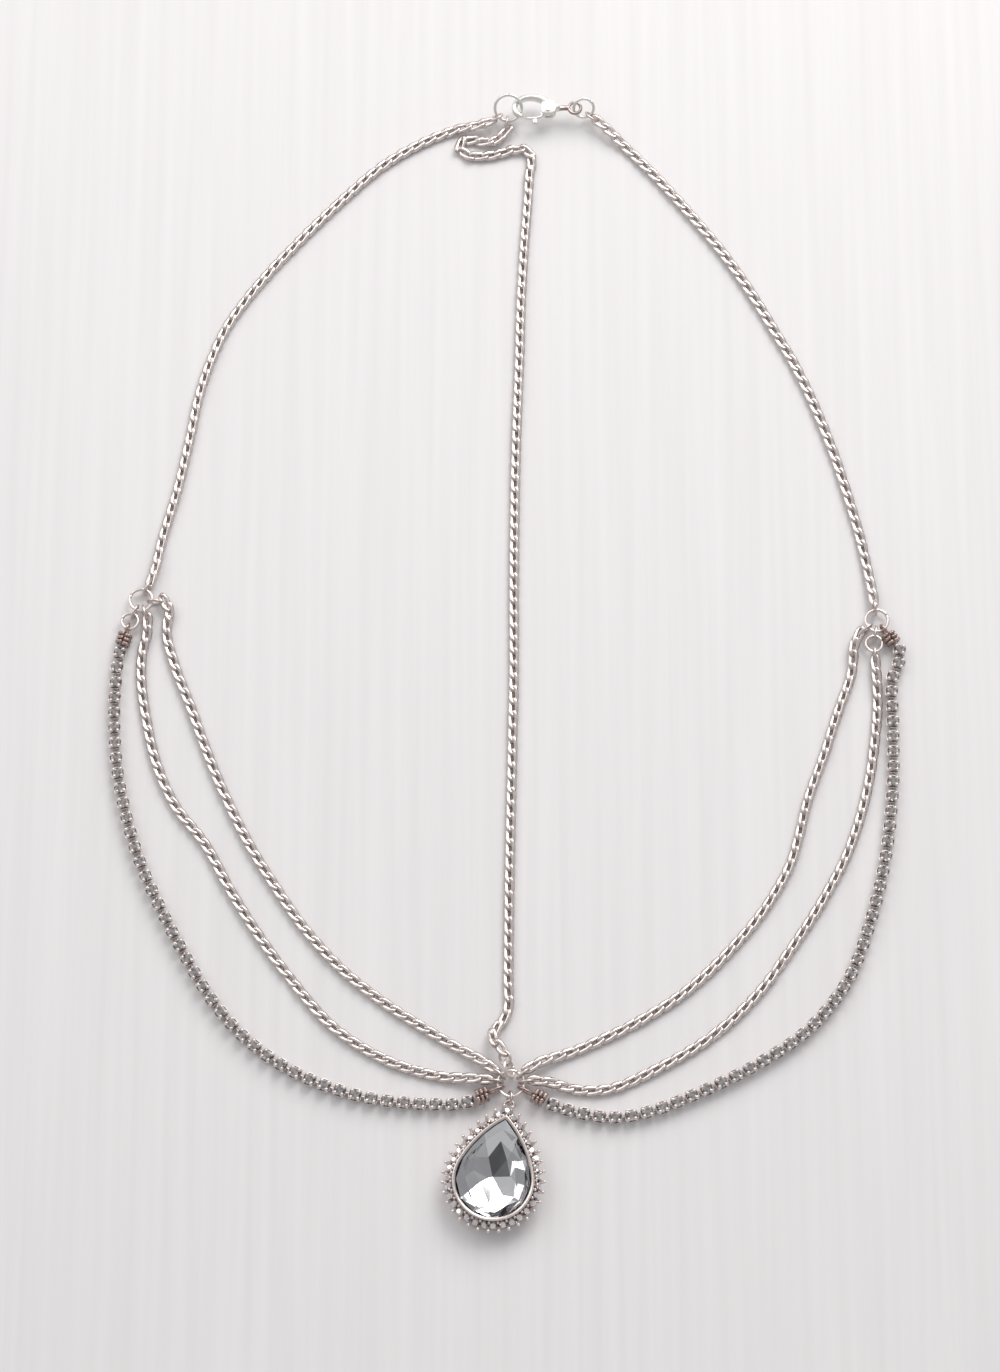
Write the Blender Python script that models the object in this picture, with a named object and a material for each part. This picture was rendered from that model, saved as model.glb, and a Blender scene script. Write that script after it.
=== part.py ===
# Forehead chain laid open on a flat surface.
# Units are metres, +Z is up, the drop is at -Y and the clasp at +Y.
# The origin is the middle of the whole piece on the surface that it lies on.
import math

import bmesh
import bpy
import numpy as np
from mathutils import Vector

MM = 0.001

# Room kept between pieces that touch on the real object
GAP = 0.3 * MM

# Curb chain, drawn as a plain round tube
CURB_WIDTH = 2.1 * MM
TUBE_STEP = 8.0 * MM
TUBE_TURN = math.radians(40.0)
RISE_LENGTH = 9.0 * MM
CHAIN_LEAD = 0.9 * MM
FLOOR_ROOM = 0.1 * MM

# Upright oval links at the ends of the curb chains
LINK_WIRE = 0.54 * MM
LINK_PLAY = 0.25 * MM
LINK_STRETCH = 0.4 * MM
LINK_SLACK = 0.12 * MM

# Junction rings
SIDE_RING_DIAMETER = 4.7 * MM
LOWER_RING_DIAMETER = 3.4 * MM
CENTRE_RING_DIAMETER = 5.3 * MM
CROWN_RING_DIAMETER = 3.6 * MM
RING_WIRE = 0.68 * MM
CROWN_RING_TILT = math.radians(60.0)
CROWN_RING_SLACK = 0.4 * MM

# Cup chain
CUP_PITCH = 3.25 * MM
CUP_WIDTH = 2.9 * MM
CUP_FOOT_WIDTH = 2.0 * MM
CUP_PRONG_HEIGHT = 2.0 * MM
CUP_RIM_HEIGHT = 1.55 * MM
CUP_STONE_HEIGHT = 2.35 * MM
CUP_TABLE_WIDTH = 1.3 * MM
CUP_WAIST_WIDTH = 2.5 * MM
BAR_HEIGHT = 0.85 * MM

# Clips at the ends of the cup chain
CLIP_LENGTH = 2.5 * MM
CLIP_WIDTH = 2.4 * MM
CLIP_HEIGHT = 2.5 * MM
CLIP_BEVEL = 0.35 * MM
CLIP_LOOP_OVERLAP = 0.3 * MM
CENTRE_LOOP_STRETCH = 0.6 * MM

# Lobster clasp
CLAW_LENGTH = 7.4 * MM
CLAW_WIDTH = 5.0 * MM
CLAW_SHIFT = 1.0 * MM
CLAW_NOSE_THICKNESS = 1.1 * MM
CLAW_ROOT_THICKNESS = 1.5 * MM
CLAW_TAPER_SHARE = 0.45
CLAW_TIP_ANGLE = math.radians(240.0)
CLAW_ROOT_ANGLE = math.radians(30.0)
CHEEK_LENGTH = 3.4 * MM
CHEEK_WIDTH = 3.7 * MM
CHEEK_THICKNESS = 0.45 * MM
CHEEK_BEVEL = 0.4 * MM
CHEEK_COVER = 0.375 * MM
PIVOT_X = 2.6 * MM
PIVOT_Y = -0.9 * MM
PIN_DIAMETER = 0.7 * MM
LEVER_THICKNESS = 0.8 * MM
LEVER_EYE_WALL = 0.35 * MM
LEVER_TIP_ANGLE = math.radians(253.0)
LEVER_ROOT_ANGLE = math.radians(318.0)
THUMB_ANGLE = math.radians(280.0)
THUMB_LENGTH = 1.5 * MM
THUMB_WIDTH = 1.3 * MM
THUMB_THICKNESS = 0.65 * MM
TAIL_EYE_DIAMETER = 2.6 * MM
TAIL_EYE_WIRE = 0.7 * MM
TAIL_NECK_LENGTH = 2.7 * MM
TAIL_NECK_WIDTH = 1.4 * MM
TAIL_NECK_OVERLAP = 0.3 * MM
HOLD_RING_DIAMETER = 5.8 * MM
TAIL_RING_DIAMETER = 4.3 * MM
HOLD_RING_TILT = math.radians(-42.0)
TAIL_RING_TILT = math.radians(48.0)
HOLD_RING_SLACK = 0.4 * MM
TAIL_RING_SLACK = 0.5 * MM

# Drop
STONE_WIDTH = 15.0 * MM
STONE_LENGTH = 20.0 * MM
STONE_SHOULDER = math.radians(20.0)
STONE_PAVILION = 3.0 * MM
STONE_GIRDLE = 0.4 * MM
STONE_CROWN = 1.3 * MM
STONE_TABLE_INSET = 2.3 * MM
STONE_SIDES = 22
CULET_WIDTH = 0.4 * MM
BACK_THICKNESS = 0.7 * MM
BEZEL_WALL = 0.4 * MM
BEZEL_COVER = 0.25 * MM
HALO_DEPTH = 1.3 * MM
HALO_BASE_INSET = 0.35 * MM
HALO_COUNT = 34
HALO_STONE_WIDTH = 1.5 * MM
HALO_STONE_HEIGHT = 0.75 * MM
HALO_TABLE_WIDTH = 0.9 * MM
HALO_STONE_SEAT = 0.2 * MM
WALL_WIDTH = 1.35 * MM
PRONG_WIDTH = 0.55 * MM
PRONG_TIP_WIDTH = 0.37 * MM
PRONG_REACH = 0.45 * MM
PRONG_RISE = 0.7 * MM
PRONG_ROOT = 0.5 * MM
DROP_SWING = math.radians(11.5)
DROP_LOOP_DIAMETER = 2.0 * MM
DROP_LOOP_WIRE = 0.6 * MM
DROP_LOOP_OVERLAP = 0.55 * MM
DROP_LINK_LEAN = math.radians(70.0)
DROP_LINK_STRETCH = 0.2 * MM

# Faces of round pieces
RING_SIDES = 12
RING_WIRE_SIDES = 6
LINK_SIDES = 10
LINK_WIRE_SIDES = 5
CUP_SIDES = 8
TUBE_RESOLUTION = 2
CLAW_SIDES = 8
CLAW_STEPS = 15
LEVER_SIDES = 6
LEVER_STEPS = 7
PIN_SIDES = 10
DISC_SIDES = 12
PRONG_SIDES = 4
HALO_SIDES = 8
CURVE_STEPS = 24
PEAR_STEPS = 120
SMOOTH_ANGLE = math.radians(35.0)

# Ring places and the directions in which things hang on them, in degrees from +X
SIDE_RINGS = {
    "left": {"x": -76.3, "y": 8.8, "back": 66, "inner": -7, "middle": -73, "lower": -115, "cup": -106},
    "right": {"x": 76.7, "y": 4.3, "back": 97, "inner": -140, "middle": -88, "lower": -98, "cup": -55},
}
CENTRE_RING = {
    "x": 0.6, "y": -93.7,
    "inner_left": 140, "middle_left": 171, "cup_left": 203, "drop": -95,
    "cup_right": -27, "middle_right": 6, "inner_right": 40, "crown": 97, "crown_chain": 112,
}
CLASP = {"x": 6.2, "y": 120.5, "hold_back": 212, "hold_crown": 262, "tail_back": -40}

# Chosen points of each chain between its ends, x and y in millimetres
ROUTES = {
    "back_chain_left": (
        (-10.3, 116.7), (-18.8, 113.2), (-27.3, 107.7), (-35.8, 99.7), (-44.3, 90.7), (-52.8, 80.7),
        (-59.3, 71.2), (-62.8, 63.2), (-65.3, 54.7), (-66.8, 46.2), (-69.3, 33.7), (-72.3, 22.2),
    ),
    "back_chain_right": (
        (25.7, 112.2), (32.2, 105.2), (39.2, 96.7), (45.7, 88.2), (51.2, 79.7), (56.2, 70.7),
        (61.2, 61.2), (65.2, 51.7), (68.7, 41.7), (71.7, 31.2), (74.2, 20.7),
    ),
    "crown_chain": (
        (-4.4, 113.6), (-8.2, 114.1), (-10.2, 112.8), (-9.0, 110.9), (-5.4, 110.3), (-1.8, 110.9),
        (1.4, 111.8), (3.8, 111.8), (5.1, 109.9), (4.8, 106.7),
        (4.3, 98.7), (3.6, 89.2), (2.9, 76.7), (2.5, 62.7), (2.0, 49.2), (1.6, 35.7),
        (1.4, 22.7), (1.3, 8.7), (1.3, -5.3), (1.0, -20.3), (0.7, -34.3),
        (0.4, -48.3), (0.2, -62.3), (0.1, -71.8), (0.0, -78.3), (-1.6, -81.5), (-3.4, -83.5),
    ),
    "inner_chain_left": (
        (-70.8, 1.7), (-68.8, -5.8), (-65.3, -14.8), (-61.8, -24.3), (-57.8, -33.8), (-52.8, -43.8),
        (-47.3, -52.8), (-41.8, -60.8), (-34.3, -69.3), (-25.8, -76.3), (-15.8, -82.8),
    ),
    "inner_chain_right": (
        (71.2, -6.8), (68.2, -15.3), (65.2, -24.3), (61.7, -33.8), (59.7, -41.3), (57.7, -47.8),
        (52.2, -57.3), (44.7, -66.3), (36.2, -74.3), (26.2, -80.8), (14.7, -86.3),
    ),
    "middle_chain_left": (
        (-75.8, -2.8), (-75.8, -8.8), (-74.8, -15.8), (-72.3, -26.3), (-68.3, -35.3), (-61.8, -43.8),
        (-56.3, -53.8), (-50.3, -63.3), (-43.3, -72.8), (-35.3, -81.8), (-25.3, -88.3), (-14.8, -91.8),
    ),
    "middle_chain_right": (
        (76.4, -10.8), (76.0, -18.3), (73.7, -32.3), (69.7, -44.8), (64.2, -55.3), (57.7, -65.3),
        (50.7, -74.8), (41.7, -83.3), (31.2, -89.8), (20.7, -94.5), (14.2, -94.8),
    ),
    "cup_chain_left": (
        (-81.0, -8.3), (-81.2, -15.3), (-80.3, -27.3), (-78.1, -37.8), (-75.1, -47.3), (-70.6, -57.3),
        (-65.3, -67.3), (-59.8, -76.3), (-52.3, -84.8), (-42.8, -91.3), (-31.8, -95.6), (-20.8, -97.5),
    ),
    "cup_chain_right": (
        (79.6, -8.3), (79.4, -18.3), (79.0, -31.3), (77.0, -46.8), (73.5, -60.3), (68.7, -72.3),
        (60.7, -82.3), (50.7, -89.3), (38.7, -95.3), (27.7, -99.5), (20.2, -100.5),
    ),
}

SILVER = ("silver", (0.72, 0.68, 0.66), 1.0, 0.28)
PALE_SILVER = ("pale_silver", (0.80, 0.78, 0.72), 1.0, 0.25)
COPPER = ("dark_copper", (0.24, 0.16, 0.13), 1.0, 0.35)
CUP_METAL = ("cup_metal", (0.55, 0.53, 0.51), 1.0, 0.25)
CRYSTAL = ("crystal", (0.88, 0.90, 0.92), 0.6, 0.06)


def clear_scene():
    for item in list(bpy.data.objects):
        bpy.data.objects.remove(item, do_unlink=True)


def own_material(node, finish):
    # Each piece gets its own Principled material with the colour of its metal or stone
    _, colour, metallic, roughness = finish
    material = bpy.data.materials.new(node)
    material.use_nodes = True
    shader = material.node_tree.nodes["Principled BSDF"]
    shader.inputs["Base Color"].default_value = (*colour, 1.0)
    shader.inputs["Metallic"].default_value = metallic
    shader.inputs["Roughness"].default_value = roughness
    return material


def add_object(name, verts, faces, finish=None):
    mesh = bpy.data.meshes.new(name)
    mesh.from_pydata([tuple(v) for v in verts], [], [tuple(f) for f in faces])
    tidy = bmesh.new()
    tidy.from_mesh(mesh)
    bmesh.ops.recalc_face_normals(tidy, faces=tidy.faces)
    tidy.to_mesh(mesh)
    tidy.free()
    mesh.shade_smooth()
    mesh.set_sharp_from_angle(angle=SMOOTH_ANGLE)
    piece = bpy.data.objects.new(name, mesh)
    bpy.context.collection.objects.link(piece)
    if finish:
        mesh.materials.append(own_material(name, finish))
    return piece


def combine(piece, tool, operation):
    # The tool stays in the file as a hidden wire guide
    tool.hide_render = True
    tool.display_type = "WIRE"
    step = piece.modifiers.new(operation.title(), "BOOLEAN")
    step.operation = operation
    step.solver = "EXACT"
    step.object = tool


def turned(x, y, angle):
    return x * math.cos(angle) - y * math.sin(angle), x * math.sin(angle) + y * math.cos(angle)


def sweep(points, normal, radii, sides, closed):
    # A round section carried along a flat path whose plane has the given normal
    points = np.asarray(points, dtype=float)
    normal = np.asarray(normal, dtype=float)
    radii = np.broadcast_to(radii, len(points))
    if closed:
        tangents = np.roll(points, -1, axis=0) - np.roll(points, 1, axis=0)
    else:
        tangents = np.gradient(points, axis=0)
    tangents /= np.linalg.norm(tangents, axis=1)[:, None]
    sideways = np.cross(tangents, normal)
    verts = []
    for point, side, radius in zip(points, sideways, radii):
        for k in range(sides):
            turn = 2.0 * math.pi * (k + 0.5) / sides
            verts.append(point + radius * (math.cos(turn) * side + math.sin(turn) * normal))
    count = len(points)
    faces = []
    for i in range(count if closed else count - 1):
        for k in range(sides):
            near, far = i * sides, (i + 1) % count * sides
            faces.append((near + k, near + (k + 1) % sides, far + (k + 1) % sides, far + k))
    if not closed:
        faces.append(tuple(range(sides)))
        faces.append(tuple((count - 1) * sides + k for k in range(sides)))
    return verts, faces


def stacked(loops):
    # Closed loops of equal length joined in order, with a flat cap on the first and last
    size = len(loops[0])
    verts = [point for loop in loops for point in loop]
    faces = []
    for level in range(len(loops) - 1):
        for k in range(size):
            low, high = level * size, (level + 1) * size
            faces.append((low + k, low + (k + 1) % size, high + (k + 1) % size, high + k))
    faces.append(tuple(range(size)))
    faces.append(tuple((len(loops) - 1) * size + k for k in range(size)))
    return verts, faces


def merged(parts):
    verts, faces = [], []
    for part_verts, part_faces in parts:
        start = len(verts)
        verts.extend(part_verts)
        faces.extend(tuple(start + index for index in face) for face in part_faces)
    return verts, faces


def box_between(start, end, width, low, high):
    # A straight bar of rectangular section from one plan point to another
    along = (end - start).normalized()
    side = Vector((-along.y, along.x, 0.0)) * (width / 2.0)
    loops = []
    for height in (low, high):
        rise = Vector((0.0, 0.0, height))
        loops.append([start - side + rise, end - side + rise, end + side + rise, start + side + rise])
    return stacked(loops)


class Ring:
    # A wire ring whose plane turns about the line from its middle along its heading
    def __init__(self, centre, heading, diameter, wire, tilt=0.0):
        self.centre = Vector(centre)
        self.radius = diameter / 2.0
        self.wire_radius = wire / 2.0
        self.ahead = Vector((math.cos(heading), math.sin(heading), 0.0))
        across = Vector((-math.sin(heading), math.cos(heading), 0.0))
        up = Vector((0.0, 0.0, 1.0))
        self.across = across * math.cos(tilt) + up * math.sin(tilt)
        self.heading = heading
        self.tilt = tilt

    def point(self, turn):
        return self.centre + self.radius * (math.cos(turn) * self.ahead + math.sin(turn) * self.across)

    def toward(self, heading):
        # The ring's own point that lies in a given plan direction from its middle
        aim = Vector((math.cos(heading), math.sin(heading), 0.0))
        ahead = aim.dot(self.ahead)
        sideways = aim.dot(Vector((-self.ahead.y, self.ahead.x, 0.0)))
        flat = Vector((self.across.x, self.across.y, 0.0)).length
        return self.point(math.atan2(sideways / flat, ahead))

    def build(self, name, finish):
        turns = [2.0 * math.pi * k / RING_SIDES for k in range(RING_SIDES)]
        normal = self.ahead.cross(self.across)
        points = [self.point(turn) for turn in turns]
        add_object(name, *sweep(points, normal, self.wire_radius, RING_WIRE_SIDES, True), finish)


def leaning_partner(ring, heading, diameter, tilt, slack):
    # A second ring passed through a first one, on its far side along the heading
    wire = 2.0 * ring.wire_radius
    reach = ring.radius + diameter / 2.0 - wire - GAP - slack
    aim = Vector((math.cos(heading), math.sin(heading), 0.0))
    return Ring(ring.centre + aim * reach, heading, diameter, wire, tilt)


class EndLink:
    # An oval link that passes round a ring's wire and stands on its edge
    def __init__(self, ring, heading, stretch=LINK_STRETCH, lean=None):
        wire = LINK_WIRE / 2.0
        if lean is None:
            lean = math.pi / 2.0 + ring.tilt * math.cos(heading - ring.heading)
        self.half_height = ring.wire_radius + wire + GAP + LINK_PLAY
        self.half_length = self.half_height + stretch
        self.aim = Vector((math.cos(heading), math.sin(heading), 0.0))
        hold = ring.toward(heading)
        reach = self.half_length - ring.wire_radius - wire - GAP - LINK_SLACK
        self.centre = hold + self.aim * reach
        self.far_hold = hold + self.aim * 2.0 * reach
        self.centre.z = max(hold.z, self.half_height * math.sin(lean) + wire)
        self.upward = Vector((0.0, 0.0, 1.0)) * math.sin(lean)
        self.upward += Vector((-self.aim.y, self.aim.x, 0.0)) * math.cos(lean)
        self.inner_end = self.centre + self.aim * (self.half_length - wire)
        self.outer_end = self.centre + self.aim * (self.half_length + wire)

    def shape(self):
        points = []
        for k in range(LINK_SIDES):
            turn = 2.0 * math.pi * (k + 0.5) / LINK_SIDES
            along = self.aim * (self.half_length * math.cos(turn))
            points.append(self.centre + along + self.upward * (self.half_height * math.sin(turn)))
        normal = self.aim.cross(self.upward)
        return sweep(points, normal, LINK_WIRE / 2.0, LINK_WIRE_SIDES, True)

    def build(self, name, finish):
        add_object(name, *self.shape(), finish)


def smooth_curve(points, step, turn_step=None):
    # Points at an even step on a centripetal Catmull-Rom curve through the given ones,
    # closer together in the bends where a turn step is given
    points = [np.asarray(p, dtype=float) for p in points]
    padded = [2.0 * points[0] - points[1], *points, 2.0 * points[-1] - points[-2]]
    fine = []
    for p0, p1, p2, p3 in zip(padded, padded[1:], padded[2:], padded[3:]):
        t1 = np.linalg.norm(p1 - p0) ** 0.5
        t2 = t1 + np.linalg.norm(p2 - p1) ** 0.5
        t3 = t2 + np.linalg.norm(p3 - p2) ** 0.5
        t = np.linspace(t1, t2, CURVE_STEPS, endpoint=False)[:, None]
        a1 = ((t1 - t) * p0 + t * p1) / t1
        a2 = ((t2 - t) * p1 + (t - t1) * p2) / (t2 - t1)
        a3 = ((t3 - t) * p2 + (t - t2) * p3) / (t3 - t2)
        b1 = ((t2 - t) * a1 + t * a2) / t2
        b2 = ((t3 - t) * a2 + (t - t1) * a3) / (t3 - t1)
        fine.append(((t2 - t) * b1 + (t - t1) * b2) / (t2 - t1))
    fine.append(points[-1][None])
    fine = np.concatenate(fine)
    spans = np.diff(fine, axis=0)
    measure = np.linalg.norm(spans, axis=1) / step
    if turn_step:
        ways = np.unwrap(np.arctan2(spans[:, 1], spans[:, 0]))
        measure += np.abs(np.diff(ways, prepend=ways[0])) / turn_step
    measure = np.concatenate(([0.0], np.cumsum(measure)))
    stations = np.linspace(0.0, measure[-1], max(2, round(measure[-1])) + 1)
    return np.stack([np.interp(stations, measure, fine[:, axis]) for axis in range(3)], axis=1)


def chain_curve(name, ends, rest_height, step, turn_step=None):
    # The chain leaves each end straight and sinks from it to the surface
    (start, start_aim), (end, end_aim) = ends
    middle = [Vector((x * MM, y * MM, rest_height)) for x, y in ROUTES[name]]
    first = start + start_aim * CHAIN_LEAD
    last = end + end_aim * CHAIN_LEAD
    points = smooth_curve([start, first, *middle, last, end], step, turn_step)
    lengths = np.concatenate(([0.0], np.cumsum(np.linalg.norm(np.diff(points, axis=0), axis=1))))
    for edge, away in ((start, lengths), (end, lengths[-1] - lengths)):
        near = np.clip(1.0 - away / RISE_LENGTH, 0.0, 1.0)
        near = near * near * (3.0 - 2.0 * near)
        points[:, 2] = np.where(near > 0.0, rest_height + (edge.z - rest_height) * near, points[:, 2])
    return points


def curb_tube(name, ends):
    radius = CURB_WIDTH / 2.0
    points = chain_curve(name, ends, radius + FLOOR_ROOM, TUBE_STEP, TUBE_TURN)
    curve = bpy.data.curves.new(name, "CURVE")
    curve.dimensions = "3D"
    curve.bevel_depth = radius
    curve.bevel_resolution = TUBE_RESOLUTION
    curve.use_fill_caps = True
    curve.twist_mode = "Z_UP"
    spline = curve.splines.new("POLY")
    spline.points.add(len(points) - 1)
    for knot, point in zip(spline.points, points):
        knot.co = (*point, 1.0)
    curve.materials.append(own_material(name, SILVER))
    bpy.context.collection.objects.link(bpy.data.objects.new(name, curve))


def cup_loops(centre, along):
    # Foot, waist, prongs and rim, then the table of the cut stone, eight points to a loop
    start = math.atan2(along[1], along[0]) + math.pi / CUP_SIDES
    levels = (
        (CUP_FOOT_WIDTH, 0.0, 0.0),
        (CUP_WAIST_WIDTH, BAR_HEIGHT, BAR_HEIGHT),
        (CUP_WIDTH, CUP_RIM_HEIGHT, CUP_PRONG_HEIGHT),
        (CUP_TABLE_WIDTH, CUP_STONE_HEIGHT, CUP_STONE_HEIGHT),
    )
    loops = []
    for width, even_height, odd_height in levels:
        loop = []
        for k in range(CUP_SIDES):
            turn = start + 2.0 * math.pi * k / CUP_SIDES
            height = odd_height if k % 2 else even_height
            offset = Vector((math.cos(turn), math.sin(turn), 0.0)) * (width / 2.0)
            loop.append(Vector((centre[0], centre[1], height)) + offset)
        loops.append(loop)
    return loops


def cup_chain(name, ends):
    # Each cup's low front side opens into a bar that runs to the back side of the next
    points = chain_curve(name, ends, 0.0, CUP_PITCH)
    along = np.gradient(points, axis=0)
    cups = [stacked(cup_loops(point, way)) for point, way in zip(points, along)]
    size = len(cups[0][0])
    back_left = CUP_SIDES // 2 - 1
    front = (CUP_SIDES - 1, 0, CUP_SIDES, 2 * CUP_SIDES - 1)
    back = (back_left, back_left + 1, back_left + 1 + CUP_SIDES, back_left + CUP_SIDES)
    verts, faces = [], []
    for index, (cup_verts, cup_faces) in enumerate(cups):
        start = index * size
        verts.extend(cup_verts)
        opened = set()
        if index < len(cups) - 1:
            opened.add(frozenset(front))
            right, left, left_top, right_top = (start + k for k in front)
            next_left, next_right, next_right_top, next_left_top = (start + size + k for k in back)
            faces.append((right, left, next_left, next_right))
            faces.append((left, left_top, next_left_top, next_left))
            faces.append((left_top, right_top, next_right_top, next_left_top))
            faces.append((right_top, right, next_right, next_right_top))
        if index > 0:
            opened.add(frozenset(back))
        faces.extend(tuple(start + k for k in face) for face in cup_faces if frozenset(face) not in opened)
    add_object(name, verts, faces, CUP_METAL)


def cup_end(name, ring, heading, stretch):
    # A loop on the ring's wire runs into a clip that closes round the last cup's bar
    link = EndLink(ring, heading, stretch)
    clip_start = link.outer_end - link.aim * CLIP_LOOP_OVERLAP
    clip_end = clip_start + link.aim * CLIP_LENGTH
    start, end = (Vector((p.x, p.y, 0.0)) for p in (clip_start, clip_end))
    low = max(0.0, link.centre.z - CLIP_HEIGHT / 2.0)
    clip = add_object(name, *box_between(start, end, CLIP_WIDTH, low, low + CLIP_HEIGHT), COPPER)
    bevel = clip.modifiers.new("Edges", "BEVEL")
    bevel.width = CLIP_BEVEL
    bevel.segments = 1
    combine(clip, add_object(f"{name}_loop", *link.shape()), "UNION")
    return end + link.aim * (GAP + CUP_WIDTH / 2.0), link.aim


def claw_point(turn, centre):
    x = CLAW_LENGTH / 2.0 * math.cos(turn) - CLAW_SHIFT
    y = CLAW_WIDTH / 2.0 * math.sin(turn)
    return centre + Vector((x, y, 0.0))


def claw_arc(first, last, steps, centre):
    return [claw_point(first + (last - first) * k / steps, centre) for k in range(steps + 1)]


def disc(centre, radius, low, high, sides):
    loops = []
    for height in (low, high):
        turns = [2.0 * math.pi * k / sides for k in range(sides)]
        loops.append([
            centre + Vector((radius * math.cos(t), radius * math.sin(t), height)) for t in turns
        ])
    return stacked(loops)


def clasp_body(centre):
    # Hook, cheeks with a slot for the lever, the pin across the slot, and the tail eye
    pivot = centre + Vector((PIVOT_X, PIVOT_Y, 0.0))
    slot_half = LEVER_THICKNESS / 2.0 + GAP
    cheek_half = slot_half + CHEEK_THICKNESS
    eye_radius = PIN_DIAMETER / 2.0 + GAP + LEVER_EYE_WALL
    room = eye_radius + GAP
    right = PIVOT_X + room + CHEEK_THICKNESS
    top = claw_point(CLAW_ROOT_ANGLE, Vector()).y + CHEEK_COVER
    block = box_between(
        centre + Vector((right - CHEEK_LENGTH, top - CHEEK_WIDTH / 2.0, 0.0)),
        centre + Vector((right, top - CHEEK_WIDTH / 2.0, 0.0)),
        CHEEK_WIDTH, -cheek_half, cheek_half,
    )
    body = add_object("clasp_body", *block, PALE_SILVER)
    bevel = body.modifiers.new("Edges", "BEVEL")
    bevel.width = CHEEK_BEVEL
    bevel.segments = 2
    slot_top = PIVOT_Y + room
    slot_depth = CHEEK_WIDTH + CLAW_WIDTH
    slot = box_between(
        centre + Vector((-CLAW_LENGTH, slot_top - slot_depth / 2.0, 0.0)),
        centre + Vector((PIVOT_X + room, slot_top - slot_depth / 2.0, 0.0)),
        slot_depth, -slot_half, slot_half,
    )
    combine(body, add_object("clasp_slot", *slot), "DIFFERENCE")
    pin = disc(pivot, PIN_DIAMETER / 2.0, -slot_half - CHEEK_THICKNESS / 2.0,
               slot_half + CHEEK_THICKNESS / 2.0, PIN_SIDES)
    combine(body, add_object("clasp_pin", *pin), "UNION")
    path = claw_arc(CLAW_ROOT_ANGLE, CLAW_TIP_ANGLE, CLAW_STEPS, centre)
    share = np.clip(np.linspace(0.0, 1.0 / CLAW_TAPER_SHARE, CLAW_STEPS + 1), 0.0, 1.0)
    radii = (CLAW_ROOT_THICKNESS + (CLAW_NOSE_THICKNESS - CLAW_ROOT_THICKNESS) * share) / 2.0
    hook = sweep(path, (0.0, 0.0, 1.0), radii, CLAW_SIDES, False)
    combine(body, add_object("clasp_hook", *hook), "UNION")
    neck_end = right + TAIL_NECK_LENGTH
    neck = box_between(
        centre + Vector((right - TAIL_NECK_OVERLAP, 0.0, 0.0)),
        centre + Vector((neck_end + TAIL_NECK_OVERLAP, 0.0, 0.0)),
        TAIL_NECK_WIDTH, -TAIL_EYE_WIRE / 2.0, TAIL_EYE_WIRE / 2.0,
    )
    combine(body, add_object("clasp_neck", *neck), "UNION")
    eye = Ring(centre + Vector((neck_end + TAIL_EYE_DIAMETER / 2.0, 0.0, 0.0)), 0.0, TAIL_EYE_DIAMETER,
               TAIL_EYE_WIRE)
    turns = [2.0 * math.pi * (k + 0.5) / RING_SIDES for k in range(RING_SIDES)]
    eye_shape = sweep([eye.point(t) for t in turns], (0, 0, 1), eye.wire_radius, RING_WIRE_SIDES, True)
    combine(body, add_object("clasp_eye", *eye_shape), "UNION")
    return eye


def clasp_lever(centre):
    # An arc that closes the hook, an eye on the pin and a thumb tab
    pivot = centre + Vector((PIVOT_X, PIVOT_Y, 0.0))
    half = LEVER_THICKNESS / 2.0
    eye_radius = PIN_DIAMETER / 2.0 + GAP + LEVER_EYE_WALL
    path = claw_arc(LEVER_TIP_ANGLE, LEVER_ROOT_ANGLE, LEVER_STEPS, centre)
    path.append(pivot + (path[-1] - pivot).normalized() * (eye_radius - LEVER_EYE_WALL / 2.0))
    arm = sweep(path, (0.0, 0.0, 1.0), half, LEVER_SIDES, False)
    lever = add_object("clasp_lever", *arm, PALE_SILVER)
    combine(lever, add_object("lever_eye", *disc(pivot, eye_radius, -half, half, DISC_SIDES)), "UNION")
    root = claw_point(THUMB_ANGLE, centre)
    outward = Vector((math.cos(THUMB_ANGLE), math.sin(THUMB_ANGLE), 0.0))
    tab_half = THUMB_THICKNESS / 2.0
    tab = box_between(root, root + outward * THUMB_LENGTH, THUMB_WIDTH, -tab_half, tab_half)
    combine(lever, add_object("lever_tab", *tab), "UNION")
    hole_radius = PIN_DIAMETER / 2.0 + GAP
    hole = disc(pivot, hole_radius, -2.0 * half, 2.0 * half, DISC_SIDES)
    combine(lever, add_object("lever_hole", *hole), "DIFFERENCE")


def pear(offset, count, place):
    # Two side arcs and a round end, offset outward, with points an even step apart
    radius = STONE_WIDTH / 2.0
    height = STONE_LENGTH - radius
    rise = math.sin(STONE_SHOULDER)
    side = (height ** 2 + radius ** 2 - 2.0 * height * radius * rise) / (2.0 * (radius - height * rise))
    hub_x = -(side - radius) * math.cos(STONE_SHOULDER)
    hub_y = -(side - radius) * rise
    tip_angle = math.acos(-hub_x / (side + offset))
    turns = np.linspace(STONE_SHOULDER, tip_angle, PEAR_STEPS)
    right = np.stack([hub_x + (side + offset) * np.cos(turns), hub_y + (side + offset) * np.sin(turns)], 1)
    turns = np.linspace(-math.pi / 2.0, STONE_SHOULDER, PEAR_STEPS, endpoint=False)
    base = np.stack([(radius + offset) * np.cos(turns), (radius + offset) * np.sin(turns)], 1)
    half = np.concatenate([base, right])
    whole = np.concatenate([half, (half * (-1.0, 1.0))[-2::-1]])
    lengths = np.concatenate(([0.0], np.cumsum(np.linalg.norm(np.diff(whole, axis=0), axis=1))))
    stations = np.linspace(0.0, lengths[-1], count, endpoint=False)
    xs = np.interp(stations, lengths, whole[:, 0])
    ys = np.interp(stations, lengths, whole[:, 1])
    return [place(x, y) for x, y in zip(xs, ys)]


def raised(loop, height):
    return [Vector((p.x, p.y, height)) for p in loop]


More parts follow.
